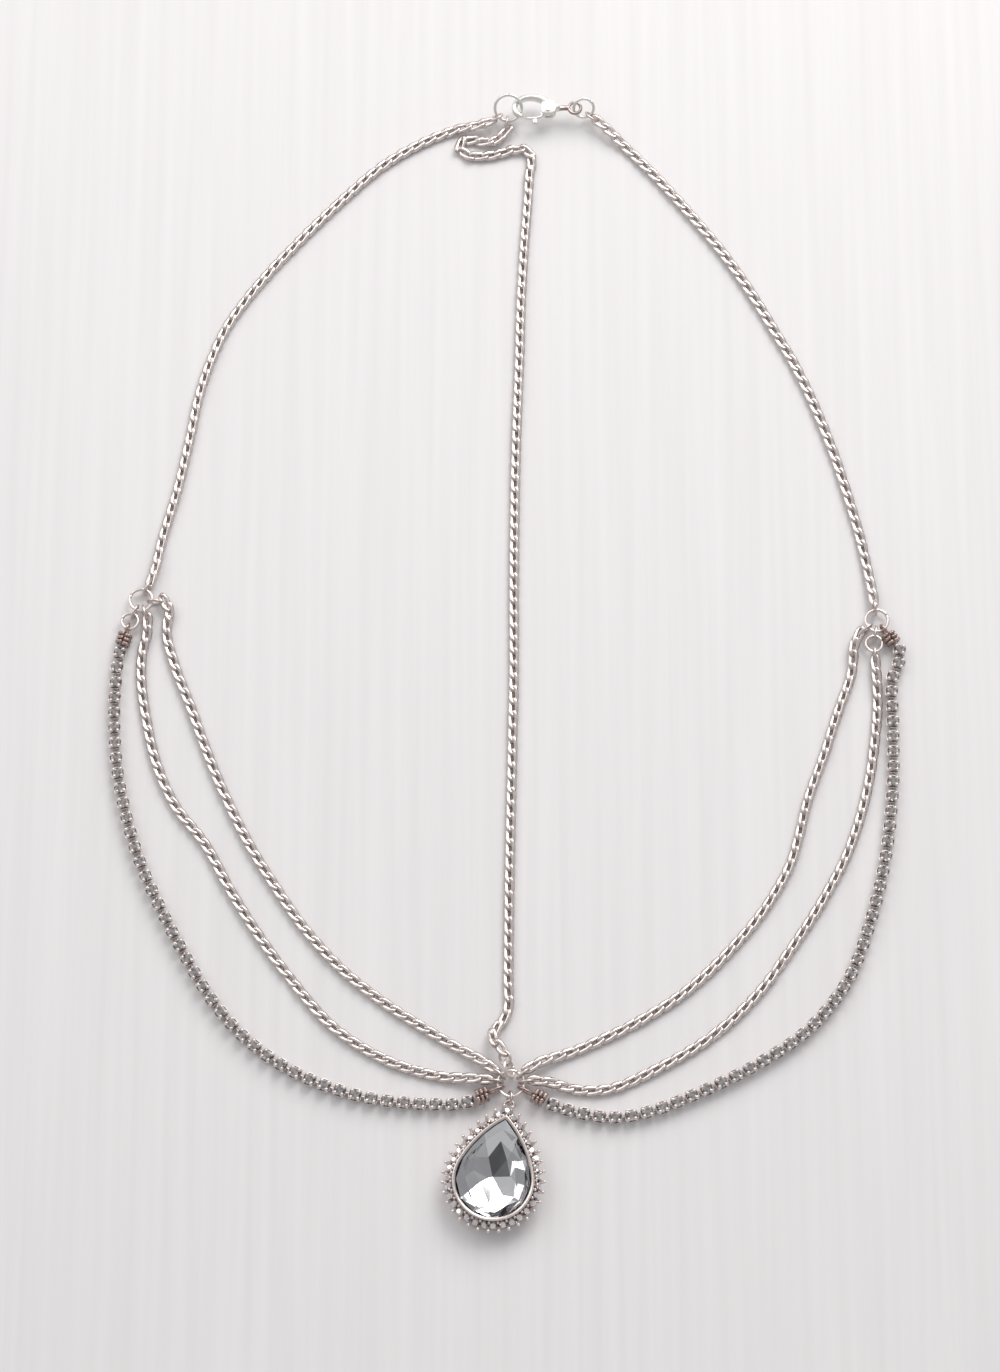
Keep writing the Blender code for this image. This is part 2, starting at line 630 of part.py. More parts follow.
def pendant(ring):
    # The drop hangs from the centre ring by one link, swung a little about its loop
    link = EndLink(ring, math.radians(CENTRE_RING["drop"]), DROP_LINK_STRETCH, DROP_LINK_LEAN)
    link.build("pendant_link", SILVER)
    aim = Vector((-math.sin(DROP_SWING), -math.cos(DROP_SWING), 0.0))
    loop_wire = DROP_LOOP_WIRE / 2.0
    loop_radius = DROP_LOOP_DIAMETER / 2.0
    loop_reach = loop_radius - loop_wire - GAP
    loop_centre = link.inner_end + link.aim * loop_reach
    edge = loop_centre + aim * (loop_radius + loop_wire - DROP_LOOP_OVERLAP)
    wall = GAP + BEZEL_WALL + WALL_WIDTH
    tip_rise = pear(wall, 4 * HALO_COUNT, lambda x, y: Vector((x, y, 0.0)))
    top = max(p.y for p in tip_rise)
    middle = edge + aim * top

    def place(x, y):
        px, py = turned(x, y, -DROP_SWING)
        return Vector((middle.x + px, middle.y + py, 0.0))

    girdle = BACK_THICKNESS + GAP + STONE_PAVILION
    bezel_top = girdle + STONE_GIRDLE + BEZEL_COVER
    halo_top = bezel_top - HALO_DEPTH
    inside = GAP
    outside = GAP + BEZEL_WALL
    loops = [
        raised(pear(inside, HALO_COUNT, place), BACK_THICKNESS),
        raised(pear(inside, HALO_COUNT, place), bezel_top),
        raised(pear(outside, HALO_COUNT, place), bezel_top),
        raised(pear(outside, HALO_COUNT, place), halo_top),
        raised(pear(wall, HALO_COUNT, place), halo_top),
        raised(pear(wall - HALO_BASE_INSET, HALO_COUNT, place), 0.0),
    ]
    setting = add_object("pendant_setting", *stacked(loops), SILVER)
    stones, prongs = [], []
    bed = pear((outside + wall) / 2.0, 2 * HALO_COUNT, place)
    rim = pear(wall - PRONG_ROOT, 2 * HALO_COUNT, place)
    reach = pear(wall + PRONG_REACH, 2 * HALO_COUNT, place)
    for k in range(HALO_COUNT):
        spot = bed[2 * k]
        outward = (rim[2 * k] - bed[2 * k]).normalized()
        start = math.atan2(outward.y, outward.x) + math.pi / HALO_SIDES
        levels = (
            (HALO_STONE_WIDTH, halo_top - HALO_STONE_SEAT),
            (HALO_TABLE_WIDTH, halo_top + HALO_STONE_HEIGHT),
        )
        loops = []
        for width, height in levels:
            turns = [start + 2.0 * math.pi * side / HALO_SIDES for side in range(HALO_SIDES)]
            loops.append([
                spot + Vector((math.cos(t) * width / 2.0, math.sin(t) * width / 2.0, height)) for t in turns
            ])
        stones.append(stacked(loops))
        low, high = rim[2 * k + 1], reach[2 * k + 1]
        low, high = raised([low], halo_top - PRONG_RISE)[0], raised([high], halo_top + PRONG_RISE)[0]
        lean = (high - low).normalized()
        normal = lean.cross(Vector((0.0, 0.0, 1.0))).normalized()
        radii = (PRONG_WIDTH / 2.0, PRONG_TIP_WIDTH / 2.0)
        prongs.append(sweep([low, high], normal, radii, PRONG_SIDES, False))
    combine(setting, add_object("halo_stones", *merged(stones)), "UNION")
    combine(setting, add_object("halo_prongs", *merged(prongs)), "UNION")
    loop = Ring(loop_centre, 0.0, DROP_LOOP_DIAMETER, DROP_LOOP_WIRE)
    turns = [2.0 * math.pi * k / RING_SIDES for k in range(RING_SIDES)]
    loop_shape = sweep([loop.point(t) for t in turns], (0, 0, 1), loop.wire_radius, RING_WIRE_SIDES, True)
    combine(setting, add_object("setting_loop", *loop_shape), "UNION")
    culet_height = BACK_THICKNESS + GAP
    turns = np.linspace(-math.pi / 2.0, 1.5 * math.pi, STONE_SIDES, endpoint=False)
    culet = [place(math.cos(t) * CULET_WIDTH / 2.0, math.sin(t) * CULET_WIDTH / 2.0) for t in turns]
    stone_loops = [
        raised(culet, culet_height),
        raised(pear(0.0, STONE_SIDES, place), girdle),
        raised(pear(0.0, STONE_SIDES, place), girdle + STONE_GIRDLE),
        raised(pear(-STONE_TABLE_INSET, STONE_SIDES, place), girdle + STONE_GIRDLE + STONE_CROWN),
    ]
    stone = add_object("main_stone", *stacked(stone_loops), CRYSTAL)
    stone.data.shade_flat()


def build():
    clear_scene()
    link_stand = RING_WIRE / 2.0 + LINK_WIRE + GAP + LINK_PLAY
    rings = {}
    for side, spec in SIDE_RINGS.items():
        centre = (spec["x"] * MM, spec["y"] * MM, link_stand)
        ring = Ring(centre, math.radians(spec["back"]), SIDE_RING_DIAMETER, RING_WIRE)
        way = math.radians(spec["lower"])
        link = EndLink(ring, way)
        link.build(f"{side}_lower_link", SILVER)
        lower = link.far_hold + link.aim * (LOWER_RING_DIAMETER / 2.0)
        rings[side] = ring
        rings[f"{side}_lower"] = Ring(lower, way, LOWER_RING_DIAMETER, RING_WIRE)
    crown_stand = CROWN_RING_DIAMETER / 2.0 * math.sin(CROWN_RING_TILT) + RING_WIRE / 2.0
    centre = (CENTRE_RING["x"] * MM, CENTRE_RING["y"] * MM, max(crown_stand, link_stand))
    rings["centre"] = Ring(centre, 0.0, CENTRE_RING_DIAMETER, RING_WIRE)
    rings["crown"] = leaning_partner(
        rings["centre"], math.radians(CENTRE_RING["crown"]), CROWN_RING_DIAMETER,
        CROWN_RING_TILT, CROWN_RING_SLACK)
    for side, ring in rings.items():
        ring.build(f"{side}_ring", SILVER)

    hold_low = HOLD_RING_DIAMETER / 2.0 * abs(math.sin(HOLD_RING_TILT)) + link_stand
    tail_low = TAIL_RING_DIAMETER / 2.0 * math.sin(TAIL_RING_TILT) + RING_WIRE / 2.0
    clasp = Vector((CLASP["x"] * MM, CLASP["y"] * MM, max(hold_low, tail_low)))
    tail_eye = clasp_body(clasp)
    clasp_lever(clasp)
    nose = claw_point(math.pi, clasp) + Vector((CLAW_NOSE_THICKNESS / 2.0, 0.0, 0.0))
    hold_reach = GAP + RING_WIRE / 2.0 + HOLD_RING_SLACK - HOLD_RING_DIAMETER / 2.0
    hold = Ring(nose + Vector((hold_reach, 0.0, 0.0)), math.pi, HOLD_RING_DIAMETER, RING_WIRE, HOLD_RING_TILT)
    hold.build("clasp_hold_ring", PALE_SILVER)
    tail = leaning_partner(tail_eye, 0.0, TAIL_RING_DIAMETER, TAIL_RING_TILT, TAIL_RING_SLACK)
    tail.build("clasp_tail_ring", PALE_SILVER)

    middle = rings["centre"]
    chains = {
        "back_chain_left": ((hold, CLASP["hold_back"]), (rings["left"], SIDE_RINGS["left"]["back"])),
        "back_chain_right": ((tail, CLASP["tail_back"]), (rings["right"], SIDE_RINGS["right"]["back"])),
        "crown_chain": ((hold, CLASP["hold_crown"]), (rings["crown"], CENTRE_RING["crown_chain"])),
        "inner_chain_left": (
            (rings["left"], SIDE_RINGS["left"]["inner"]), (middle, CENTRE_RING["inner_left"])),
        "inner_chain_right": (
            (rings["right"], SIDE_RINGS["right"]["inner"]), (middle, CENTRE_RING["inner_right"])),
        "middle_chain_left": (
            (rings["left"], SIDE_RINGS["left"]["middle"]), (middle, CENTRE_RING["middle_left"])),
        "middle_chain_right": (
            (rings["right_lower"], SIDE_RINGS["right"]["middle"]), (middle, CENTRE_RING["middle_right"])),
    }
    for name, ends in chains.items():
        tips = []
        for place, (ring, way) in zip(("first", "last"), ends):
            link = EndLink(ring, math.radians(way))
            link.build(f"{name}_{place}_link", SILVER)
            tips.append((link.outer_end + link.aim * GAP, link.aim))
        curb_tube(name, tips)

    cup_sides = {
        "left": (rings["left_lower"], SIDE_RINGS["left"]["cup"]),
        "right": (rings["right"], SIDE_RINGS["right"]["cup"]),
    }
    for side, (ring, way) in cup_sides.items():
        first = cup_end(f"cup_end_{side}_side", ring, math.radians(way), 0.0)
        way = math.radians(CENTRE_RING[f"cup_{side}"])
        last = cup_end(f"cup_end_{side}_centre", middle, way, CENTRE_LOOP_STRETCH)
        cup_chain(f"cup_chain_{side}", (first, last))

    pendant(middle)


build()
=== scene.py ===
# Forehead chain laid open on a board: curb chains, cup chains, a pear drop and a lobster clasp
import math

import bpy
import numpy as np
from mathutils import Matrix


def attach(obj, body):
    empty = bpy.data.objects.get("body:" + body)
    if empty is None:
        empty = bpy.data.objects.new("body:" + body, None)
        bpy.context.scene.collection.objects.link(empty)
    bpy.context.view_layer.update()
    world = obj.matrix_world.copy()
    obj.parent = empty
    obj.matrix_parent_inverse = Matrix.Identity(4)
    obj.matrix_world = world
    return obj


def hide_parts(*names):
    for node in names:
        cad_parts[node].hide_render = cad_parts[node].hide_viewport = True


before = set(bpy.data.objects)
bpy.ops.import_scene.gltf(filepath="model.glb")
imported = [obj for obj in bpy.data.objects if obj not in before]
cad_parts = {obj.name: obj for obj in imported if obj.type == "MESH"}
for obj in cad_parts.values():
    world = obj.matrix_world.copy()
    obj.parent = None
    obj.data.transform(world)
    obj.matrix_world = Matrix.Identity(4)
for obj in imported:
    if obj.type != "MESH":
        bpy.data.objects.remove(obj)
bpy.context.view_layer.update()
mm = 0.001
skyward = np.array((0.0, 0.0, 1.0))
flatten = np.array((1.0, 1.0, 0.0))
print("frame loaded")


# reading the frame

def nodePoints(name):
    # each corner of the node's mesh once
    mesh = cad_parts[name].data
    points = np.empty(len(mesh.vertices) * 3)
    mesh.vertices.foreach_get("co", points)
    return np.unique(points.reshape(-1, 3).round(8), axis=0)


def unit(vectors):
    # the same directions with a length of one
    vectors = np.asarray(vectors, dtype=float)
    return vectors / np.linalg.norm(vectors, axis=-1, keepdims=True)


def planFrame(degrees):
    # the level direction at this angle from +X
    angle = math.radians(degrees)
    return np.array([math.cos(angle), math.sin(angle), 0.0])


def loopFrame(name):
    # middle, long axis, short axis and normal of a ring or link
    points = nodePoints(name)
    middle = points.mean(axis=0)
    _, axes = np.linalg.eigh(np.cov((points - middle).T))
    return middle, axes[:, 2], axes[:, 1], axes[:, 0]


# grids and tubes

def fullTurn(steps):
    # even angles round a full turn
    return np.linspace(0.0, 2.0 * math.pi, steps, endpoint=False)


def polar(radius, turn, height=0.0):
    # the points (r cos t, r sin t, z)
    return np.stack(np.broadcast_arrays(radius * np.cos(turn), radius * np.sin(turn), height), axis=1)


def gridFaces(rows, columns, closedRows=False):
    # quads between neighbours in a grid whose columns close
    r = np.arange(rows if closedRows else rows - 1)[:, None]
    c = np.arange(columns)[None, :]
    rowOn = (r + 1) % rows
    columnOn = (c + 1) % columns
    corners = (r * columns + c, r * columns + columnOn, rowOn * columns + columnOn, rowOn * columns + c)
    quads = np.stack([np.broadcast_to(k, (r.size, c.size)).ravel() for k in corners], axis=1)
    return [tuple(quad) for quad in quads]


def cappedFaces(rows, columns):
    # the same quads, and one face over each end
    last = (rows - 1) * columns
    caps = [tuple(range(columns))[::-1], tuple(last + k for k in range(columns))]
    return gridFaces(rows, columns) + caps


def tube(path, radii, sides, closed=False, normal=skyward):
    # path(t) + r(t) (cos a side + sin a up), side across the path and up along the given normal
    path = np.asarray(path, dtype=float)
    if closed:
        along = np.roll(path, -1, axis=0) - np.roll(path, 1, axis=0)
    else:
        along = np.gradient(path, axis=0)
    along = unit(along)
    side = unit(np.cross(along, np.broadcast_to(np.asarray(normal, dtype=float), path.shape)))
    up = np.cross(side, along)
    turn = fullTurn(sides)[None, :, None]
    radii = np.broadcast_to(radii, len(path))[:, None, None]
    verts = path[:, None] + radii * (np.cos(turn) * side[:, None] + np.sin(turn) * up[:, None])
    faces = gridFaces(len(path), sides, closedRows=True) if closed else cappedFaces(len(path), sides)
    return verts.reshape(-1, 3), faces


class Heap:
    # grids gathered into one mesh, each with its own finish, shading and mark
    def __init__(self):
        self.verts, self.faces, self.finishes, self.smooth, self.marks = [], [], [], [], []
        self.count = 0

    def add(self, verts, faces, finish=0, smooth=True, marks=0.0):
        # one more grid
        self.verts.append(np.asarray(verts))
        self.faces += [tuple(int(k) + self.count for k in f) for f in faces]
        self.finishes += [finish] * len(faces)
        self.smooth += [smooth] * len(faces)
        self.marks.append(np.broadcast_to(marks, len(verts)))
        self.count += len(verts)

    def addCopies(self, verts, faces, middles, axes, finish=0, smooth=True, marks=0.0):
        # the same form at every middle, its x, y and z along the axes there
        verts = np.asarray(verts)
        placed = middles[:, None] + np.einsum("vk,mkj->mvj", verts, axes)
        start = np.arange(len(middles)) * len(verts)
        many = []
        for size in sorted({len(f) for f in faces}):
            some = np.array([f for f in faces if len(f) == size])
            many += (start[:, None, None] + some[None]).reshape(-1, size).tolist()
        marks = np.tile(np.broadcast_to(marks, len(verts)), len(middles))
        self.add(placed.reshape(-1, 3), many, finish, smooth, marks)

    def piece(self, name, finishes):
        # one object from all that was added
        mesh = bpy.data.meshes.new(name)
        mesh.from_pydata(np.concatenate(self.verts).tolist(), [], self.faces)
        for finish in finishes:
            mesh.materials.append(finish)
        mesh.polygons.foreach_set("material_index", self.finishes)
        mesh.polygons.foreach_set("use_smooth", self.smooth)
        mark = mesh.attributes.new("mark", "FLOAT", "POINT")
        mark.data.foreach_set("value", np.concatenate(self.marks).astype(np.float32))
        mesh.validate()
        made = bpy.data.objects.new(name, mesh)
        bpy.context.collection.objects.link(made)
        return made


def dress(heap, name, finishes, node, body="chain"):
    # the heap's piece rides its body and stands for this node
    piece = heap.piece(name, finishes)
    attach(piece, body)
    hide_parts(node)


# finishes

class Value:
    # a number socket that takes part in sums, each operator one Math node
    def __init__(self, finish, socket):
        self.finish, self.socket = finish, socket

    def joined(self, operation, *values):
        node = self.finish.add("ShaderNodeMath", {"operation": operation}, dict(enumerate(values)))
        return Value(self.finish, node.outputs[0])

    def __add__(self, other):
        return self.joined("ADD", self, other)

    def __radd__(self, other):
        return self.joined("ADD", other, self)

    def __sub__(self, other):
        return self.joined("SUBTRACT", self, other)

    def __rsub__(self, other):
        return self.joined("SUBTRACT", other, self)

    def __mul__(self, other):
        return self.joined("MULTIPLY", self, other)

    def __rmul__(self, other):
        return self.joined("MULTIPLY", other, self)

    def __truediv__(self, other):
        return self.joined("DIVIDE", self, other)

    def __rtruediv__(self, other):
        return self.joined("DIVIDE", other, self)

    def __pow__(self, other):
        return self.joined("POWER", self, other)

    def __rpow__(self, other):
        return self.joined("POWER", other, self)


class Finish:
    # a Principled material whose other nodes all come from add
    def __init__(self, name, **fixed):
        self.material = bpy.data.materials.new(name)
        self.material.use_nodes = True
        self.tree = self.material.node_tree
        self.shader = self.tree.nodes["Principled BSDF"]
        for socket, value in fixed.items():
            self.shader.inputs[socket.replace("_", " ")].default_value = value

    def add(self, kind, settings=None, sockets=None):
        # a node of this type, with its settings and its sockets' values or links
        node = self.tree.nodes.new(kind)
        for name, value in (settings or {}).items():
            if name == "stops":
                while len(node.color_ramp.elements) < len(value):
                    node.color_ramp.elements.new(1.0)
                for stop, (place, colour) in zip(node.color_ramp.elements, value):
                    stop.position, stop.color = place, (*colour, 1.0)
            else:
                setattr(node, name, value)
        for socket, value in (sockets or {}).items():
            if isinstance(value, Value):
                value = value.socket
            if isinstance(value, bpy.types.NodeSocket):
                self.tree.links.new(value, node.inputs[socket])
            else:
                node.inputs[socket].default_value = value
        return node

    def noise(self, scale, detail=2.0, stretch=(1.0, 1.0, 1.0)):
        # a noise on the piece's own coordinates, from about 0 to 1
        place = self.add("ShaderNodeTexCoord").outputs["Object"]
        scales = tuple(scale * s for s in stretch)
        vector = self.add("ShaderNodeMapping", None, {"Vector": place, "Scale": scales}).outputs[0]
        noise = self.add("ShaderNodeTexNoise", None, {"Vector": vector, "Scale": 1.0, "Detail": detail})
        return Value(self, noise.outputs["Fac"])

    def mark(self):
        # the mark value that each piece stores at its points, which sets where the finishes paint shade
        return Value(self, self.add("ShaderNodeAttribute", {"attribute_name": "mark"}).outputs["Fac"])

    def ramp(self, factor, stops):
        # a colour from the stops
        return self.add("ShaderNodeValToRGB", {"stops": stops}, {"Fac": factor}).outputs["Color"]

    def blend(self, factor, first, second):
        # the first colour at 0 and the second at 1
        first, second = ((*c, 1.0) if isinstance(c, tuple) else c for c in (first, second))
        colours = {0: factor, 6: first, 7: second}
        return self.add("ShaderNodeMix", {"data_type": "RGBA"}, colours).outputs[2]

    def bump(self, height, strength, distance):
        # relief from this height
        sockets = {"Height": height, "Strength": strength, "Distance": distance}
        self.feed("Normal", self.add("ShaderNodeBump", None, sockets).outputs["Normal"])

    def feed(self, socket, value):
        # a link into the shader itself
        if isinstance(value, Value):
            value = value.socket
        self.tree.links.new(value, self.shader.inputs[socket])


polish = {
    "patches": 900.0, "patchGain": 1.6, "patchFrom": 0.45, "clouds": 2600.0, "cloudRough": 0.16,
    "grain": 5200.0, "grainDetail": 3.0, "bump": 0.25, "bumpDepth": 0.00003,
}


def plated(name, bright, worn, rough, paintedShade):
    # polished plating, darker in random patches, with painted shade where the mark is high
    finish = Finish(name, Metallic=1.0)
    patch = finish.noise(polish["patches"])
    colour = finish.blend(patch * polish["patchGain"] - polish["patchFrom"], bright, worn)
    # painted shade: the colour goes to the painted shade colour where the mark is high
    finish.feed("Base Color", finish.blend(finish.mark(), colour, paintedShade))
    finish.feed("Roughness", finish.noise(polish["clouds"]) * polish["cloudRough"] + rough)
    finish.bump(finish.noise(polish["grain"], polish["grainDetail"]), polish["bump"], polish["bumpDepth"])
    return finish.material


# bright and worn colour, roughness and the painted shade colour, laid in recesses and wherever the mark is
# high
metals = {
    "roseSilver": plated("rose_silver", (0.93, 0.87, 0.84), (0.77, 0.68, 0.63), 0.22, (0.34, 0.26, 0.23)),
    "paleSilver": plated("pale_silver", (0.95, 0.94, 0.89), (0.88, 0.86, 0.80), 0.24, (0.30, 0.22, 0.19)),
    "cupSilver": plated("cup_silver", (0.94, 0.88, 0.85), (0.66, 0.59, 0.56), 0.30, (0.17, 0.14, 0.13)),
    "darkCopper": plated("dark_copper", (0.62, 0.48, 0.44), (0.30, 0.22, 0.20), 0.22, (0.10, 0.07, 0.06)),
    "agedSilver": plated("aged_silver", (0.92, 0.92, 0.88), (0.78, 0.78, 0.72), 0.34, (0.20, 0.16, 0.15)),
}

glass = {
    "metal": 0.85, "rough": 0.04, "coatRough": 0.02, "clouds": 700.0, "cloudGain": 1.5, "cloudFrom": 0.4,
    "grey": (0.58, 0.56, 0.57), "paintedDark": (0.06, 0.06, 0.07),
}


def cutGlass(name, tint):
    # foil-backed cut glass: bright facets with a little colour, darker by the mark, a painted shade that
    # stands in for the facets' dark reflections
    finish = Finish(name, Metallic=glass["metal"], Roughness=glass["rough"], Coat_Weight=1.0,
                    Coat_Roughness=glass["coatRough"])
    shade = finish.noise(glass["clouds"])
    colour = finish.blend(shade * glass["cloudGain"] - glass["cloudFrom"], tint, glass["grey"])
    finish.feed("Base Color", finish.blend(finish.mark(), colour, glass["paintedDark"]))
    return finish.material


mirror = {
    "rough": 0.03, "clouds": 260.0, "cloudShade": 0.16, "shadeFrom": 0.08,
    "stops": ((0.0, (1.0, 1.0, 1.0)), (0.5, (0.52, 0.52, 0.54)), (1.0, (0.04, 0.04, 0.045))),
}


def foil():
    # the mirror under the pear stone, darker by the mark, a painted shade on its reflections, and a little
    # clouded
    finish = Finish("foil", Metallic=1.0, Roughness=mirror["rough"])
    shade = finish.mark() + finish.noise(mirror["clouds"]) * mirror["cloudShade"] - mirror["shadeFrom"]
    finish.feed("Base Color", finish.ramp(shade, mirror["stops"]))
    return finish.material


crystal = {"index": 1.15, "clouds": 90.0, "tints": ((0.97, 0.98, 0.98), (1.0, 1.0, 1.0))}


def clearGlass():
    # the pear stone's glass, which bends light little so that its edge stays bright
    finish = Finish("clear_glass", Roughness=0.0, IOR=crystal["index"], Transmission_Weight=1.0)
    finish.feed("Base Color", finish.blend(finish.noise(crystal["clouds"]), *crystal["tints"]))
    return finish.material


stones = {
    "halo": cutGlass("halo_stone", (0.98, 0.96, 0.98)),
    "cup": cutGlass("cup_stone", (0.95, 0.89, 0.86)),
    "clear": clearGlass(),
    "foil": foil(),
}
print("finishes made")


# camera, floor and light

view = {"tilt": 17.73, "place": (-1.6, -265.9, 802.0), "lens": 106.7, "near": 10.0}
camera = bpy.data.objects.new("camera", bpy.data.cameras.new("camera"))
camera.location = [v * mm for v in view["place"]]
camera.rotation_euler = (math.radians(view["tilt"]), 0.0, 0.0)
camera.data.lens = view["lens"]
camera.data.clip_start = view["near"] * mm
bpy.context.collection.objects.link(camera)
bpy.context.scene.camera = camera

board = {
    "size": 2.6, "rough": 0.6, "streaks": (420.0, 9.0, 1.0), "detail": 3.0,
    "stops": ((0.3, (0.815, 0.795, 0.795)), (0.7, (0.86, 0.84, 0.84))),
}


def makeFloor():
    # a flat pale board with fine streaks that run along Y
    heap = Heap()
    half = board["size"] / 2.0
    corners = [(-half, -half, 0), (half, -half, 0), (half, half, 0), (-half, half, 0)]
    heap.add(corners, [(0, 1, 2, 3)])
    finish = Finish("board", Roughness=board["rough"])
    streak = finish.noise(1.0, board["detail"], board["streaks"])
    finish.feed("Base Color", finish.ramp(streak, board["stops"]))
    return heap.piece("board", [finish.material])


makeFloor()

lights = {
    "window": {"at": (400, 850, 780), "size": 780, "power": 9.3, "tint": (1.0, 0.98, 0.975)},
    "fill": {"at": (-900, 750, 1100), "size": 1200, "power": 7.0, "tint": (1.0, 0.985, 0.98)},
    "back": {"at": (80, 380, 300), "size": 260, "power": 0.12, "tint": (1.0, 0.98, 0.98)},
}
for name, spec in lights.items():
    lamp = bpy.data.lights.new(name, "AREA")
    lamp.energy, lamp.color, lamp.size = spec["power"], spec["tint"], spec["size"] * mm
    lit = bpy.data.objects.new(name, lamp)
    lit.location = np.array(spec["at"]) * mm
    aim = unit(-np.array(spec["at"]) * mm)
    lit.rotation_euler = (math.acos(-aim[2]), 0.0, math.atan2(-aim[0], aim[1]))
    bpy.context.collection.objects.link(lit)

room = {"tint": (0.93, 0.93, 0.95, 1.0), "strength": 0.48}
world = bpy.data.worlds.new("room")
world.use_nodes = True
world.node_tree.nodes["Background"].inputs["Color"].default_value = room["tint"]
world.node_tree.nodes["Background"].inputs["Strength"].default_value = room["strength"]
bpy.context.scene.world = world
bpy.context.scene.view_settings.view_transform = "Standard"
print("camera, floor and light set")


# chain paths

def smoothPath(points, fineSteps=24):
    # centripetal Catmull-Rom curve through the points, and its arc length at each fine point
    points = np.asarray(points, dtype=float)
    padded = np.vstack([2 * points[0] - points[1], points, 2 * points[-1] - points[-2]])
    p0, p1, p2, p3 = (padded[k:len(padded) - 3 + k, None] for k in range(4))
    pairs = ((p0, p1), (p1, p2), (p2, p3))
    gap = [np.linalg.norm(b - a, axis=2, keepdims=True) ** 0.5 for a, b in pairs]
    t1 = gap[0]
    t2 = t1 + gap[1]
    t3 = t2 + gap[2]
    t = t1 + gap[1] * np.linspace(0.0, 1.0, fineSteps, endpoint=False)[None, :, None]
    a1 = ((t1 - t) * p0 + t * p1) / t1
    a2 = ((t2 - t) * p1 + (t - t1) * p2) / (t2 - t1)
    a3 = ((t3 - t) * p2 + (t - t2) * p3) / (t3 - t2)
    b1 = ((t2 - t) * a1 + t * a2) / t2
    b2 = ((t3 - t) * a2 + (t - t1) * a3) / (t3 - t1)
    fine = (((t2 - t) * b1 + (t - t1) * b2) / (t2 - t1)).reshape(-1, 3)
    fine = np.vstack([fine, points[-1]])
    return fine, arcLengths(fine)


def arcLengths(points):
    # the length of the way to each point
    return np.concatenate(([0.0], np.cumsum(np.linalg.norm(np.diff(points, axis=0), axis=1))))


def alongPath(fine, lengths, stations):
    # the points of the curve at these arc lengths
    return np.stack([np.interp(stations, lengths, fine[:, k]) for k in range(fine.shape[1])], axis=1)


def levelled(points, lengths, total, ends, rest, rise):
    # height s(u) = 3u^2 - 2u^3 from the resting height up to each end, u falling over the rise
    height = np.full(len(points), rest)
    for end, away in zip(ends, (lengths, total - lengths)):
        near = np.clip(1.0 - away / rise, 0.0, 1.0)
        near = near * near * (3.0 - 2.0 * near)
        height = np.where(near > 0.0, rest + (end - rest) * near, height)
    return np.column_stack([points[:, :2], height])


def travelFrames(points, roll=0.0):
    # along, left and up at every point, rolled about the path
    along = unit(np.gradient(points, axis=0))
    left = unit(np.cross(skyward, along))
    up = np.cross(along, left)
    c, s = (np.broadcast_to(f(roll), len(points))[:, None] for f in (np.cos, np.sin))
    return np.stack([along, c * left + s * up, c * up - s * left], axis=1)


curbRoutes = {
    "back_chain_left": (
        (-10.3, 116.7), (-18.8, 113.2), (-27.3, 107.7), (-35.8, 99.7), (-44.3, 90.7), (-52.8, 80.7),
        (-59.3, 71.2), (-62.8, 63.2), (-65.3, 54.7), (-66.8, 46.2), (-69.3, 33.7), (-72.3, 22.2),
    ),
    "back_chain_right": (
        (25.7, 112.2), (32.2, 105.2), (39.2, 96.7), (45.7, 88.2), (51.2, 79.7), (56.2, 70.7),
        (61.2, 61.2), (65.2, 51.7), (68.7, 41.7), (71.7, 31.2), (74.2, 20.7),
    ),
    "crown_chain": (
        (-4.4, 113.6), (-8.2, 114.1), (-10.2, 112.8), (-9.0, 110.9), (-5.4, 110.3), (-1.8, 110.9),
        (1.4, 111.8), (3.8, 111.8), (5.1, 109.9), (4.8, 106.7),
        (4.3, 98.7), (3.6, 89.2), (2.9, 76.7), (2.5, 62.7), (2.0, 49.2), (1.6, 35.7),
        (1.4, 22.7), (1.3, 8.7), (1.3, -5.3), (1.0, -20.3), (0.7, -34.3),
        (0.4, -48.3), (0.2, -62.3), (0.1, -71.8), (0.0, -78.3), (-1.6, -81.5), (-3.4, -83.5),
    ),
    "inner_chain_left": (
        (-70.8, 1.7), (-68.8, -5.8), (-65.3, -14.8), (-61.8, -24.3), (-57.8, -33.8), (-52.8, -43.8),
        (-47.3, -52.8), (-41.8, -60.8), (-34.3, -69.3), (-25.8, -76.3), (-15.8, -82.8),
    ),
    "inner_chain_right": (
        (71.2, -6.8), (68.2, -15.3), (65.2, -24.3), (61.7, -33.8), (59.7, -41.3), (57.7, -47.8),
        (52.2, -57.3), (44.7, -66.3), (36.2, -74.3), (26.2, -80.8), (14.7, -86.3),
    ),
    "middle_chain_left": (
        (-75.8, -2.8), (-75.8, -8.8), (-74.8, -15.8), (-72.3, -26.3), (-68.3, -35.3), (-61.8, -43.8),
        (-56.3, -53.8), (-50.3, -63.3), (-43.3, -72.8), (-35.3, -81.8), (-25.3, -88.3), (-14.8, -91.8),
    ),
    "middle_chain_right": (
        (76.4, -10.8), (76.0, -18.3), (73.7, -32.3), (69.7, -44.8), (64.2, -55.3), (57.7, -65.3),
        (50.7, -74.8), (41.7, -83.3), (31.2, -89.8), (20.7, -94.5), (14.2, -94.8),
    ),
}


# rings and links

ringMake = {"wire": 0.34, "steps": 44, "sides": 12, "cut": 0.05}
# the diameter of each ring, and the direction of its cut in degrees
ringSizes = {
    "centre_ring": (5.3, 60), "crown_ring": (3.6, 20), "left_ring": (4.7, 150), "right_ring": (4.7, 30),
    "left_lower_ring": (3.4, 160), "right_lower_ring": (3.4, 20),
    "clasp_hold_ring": (5.8, 90), "clasp_tail_ring": (4.3, 60),
}


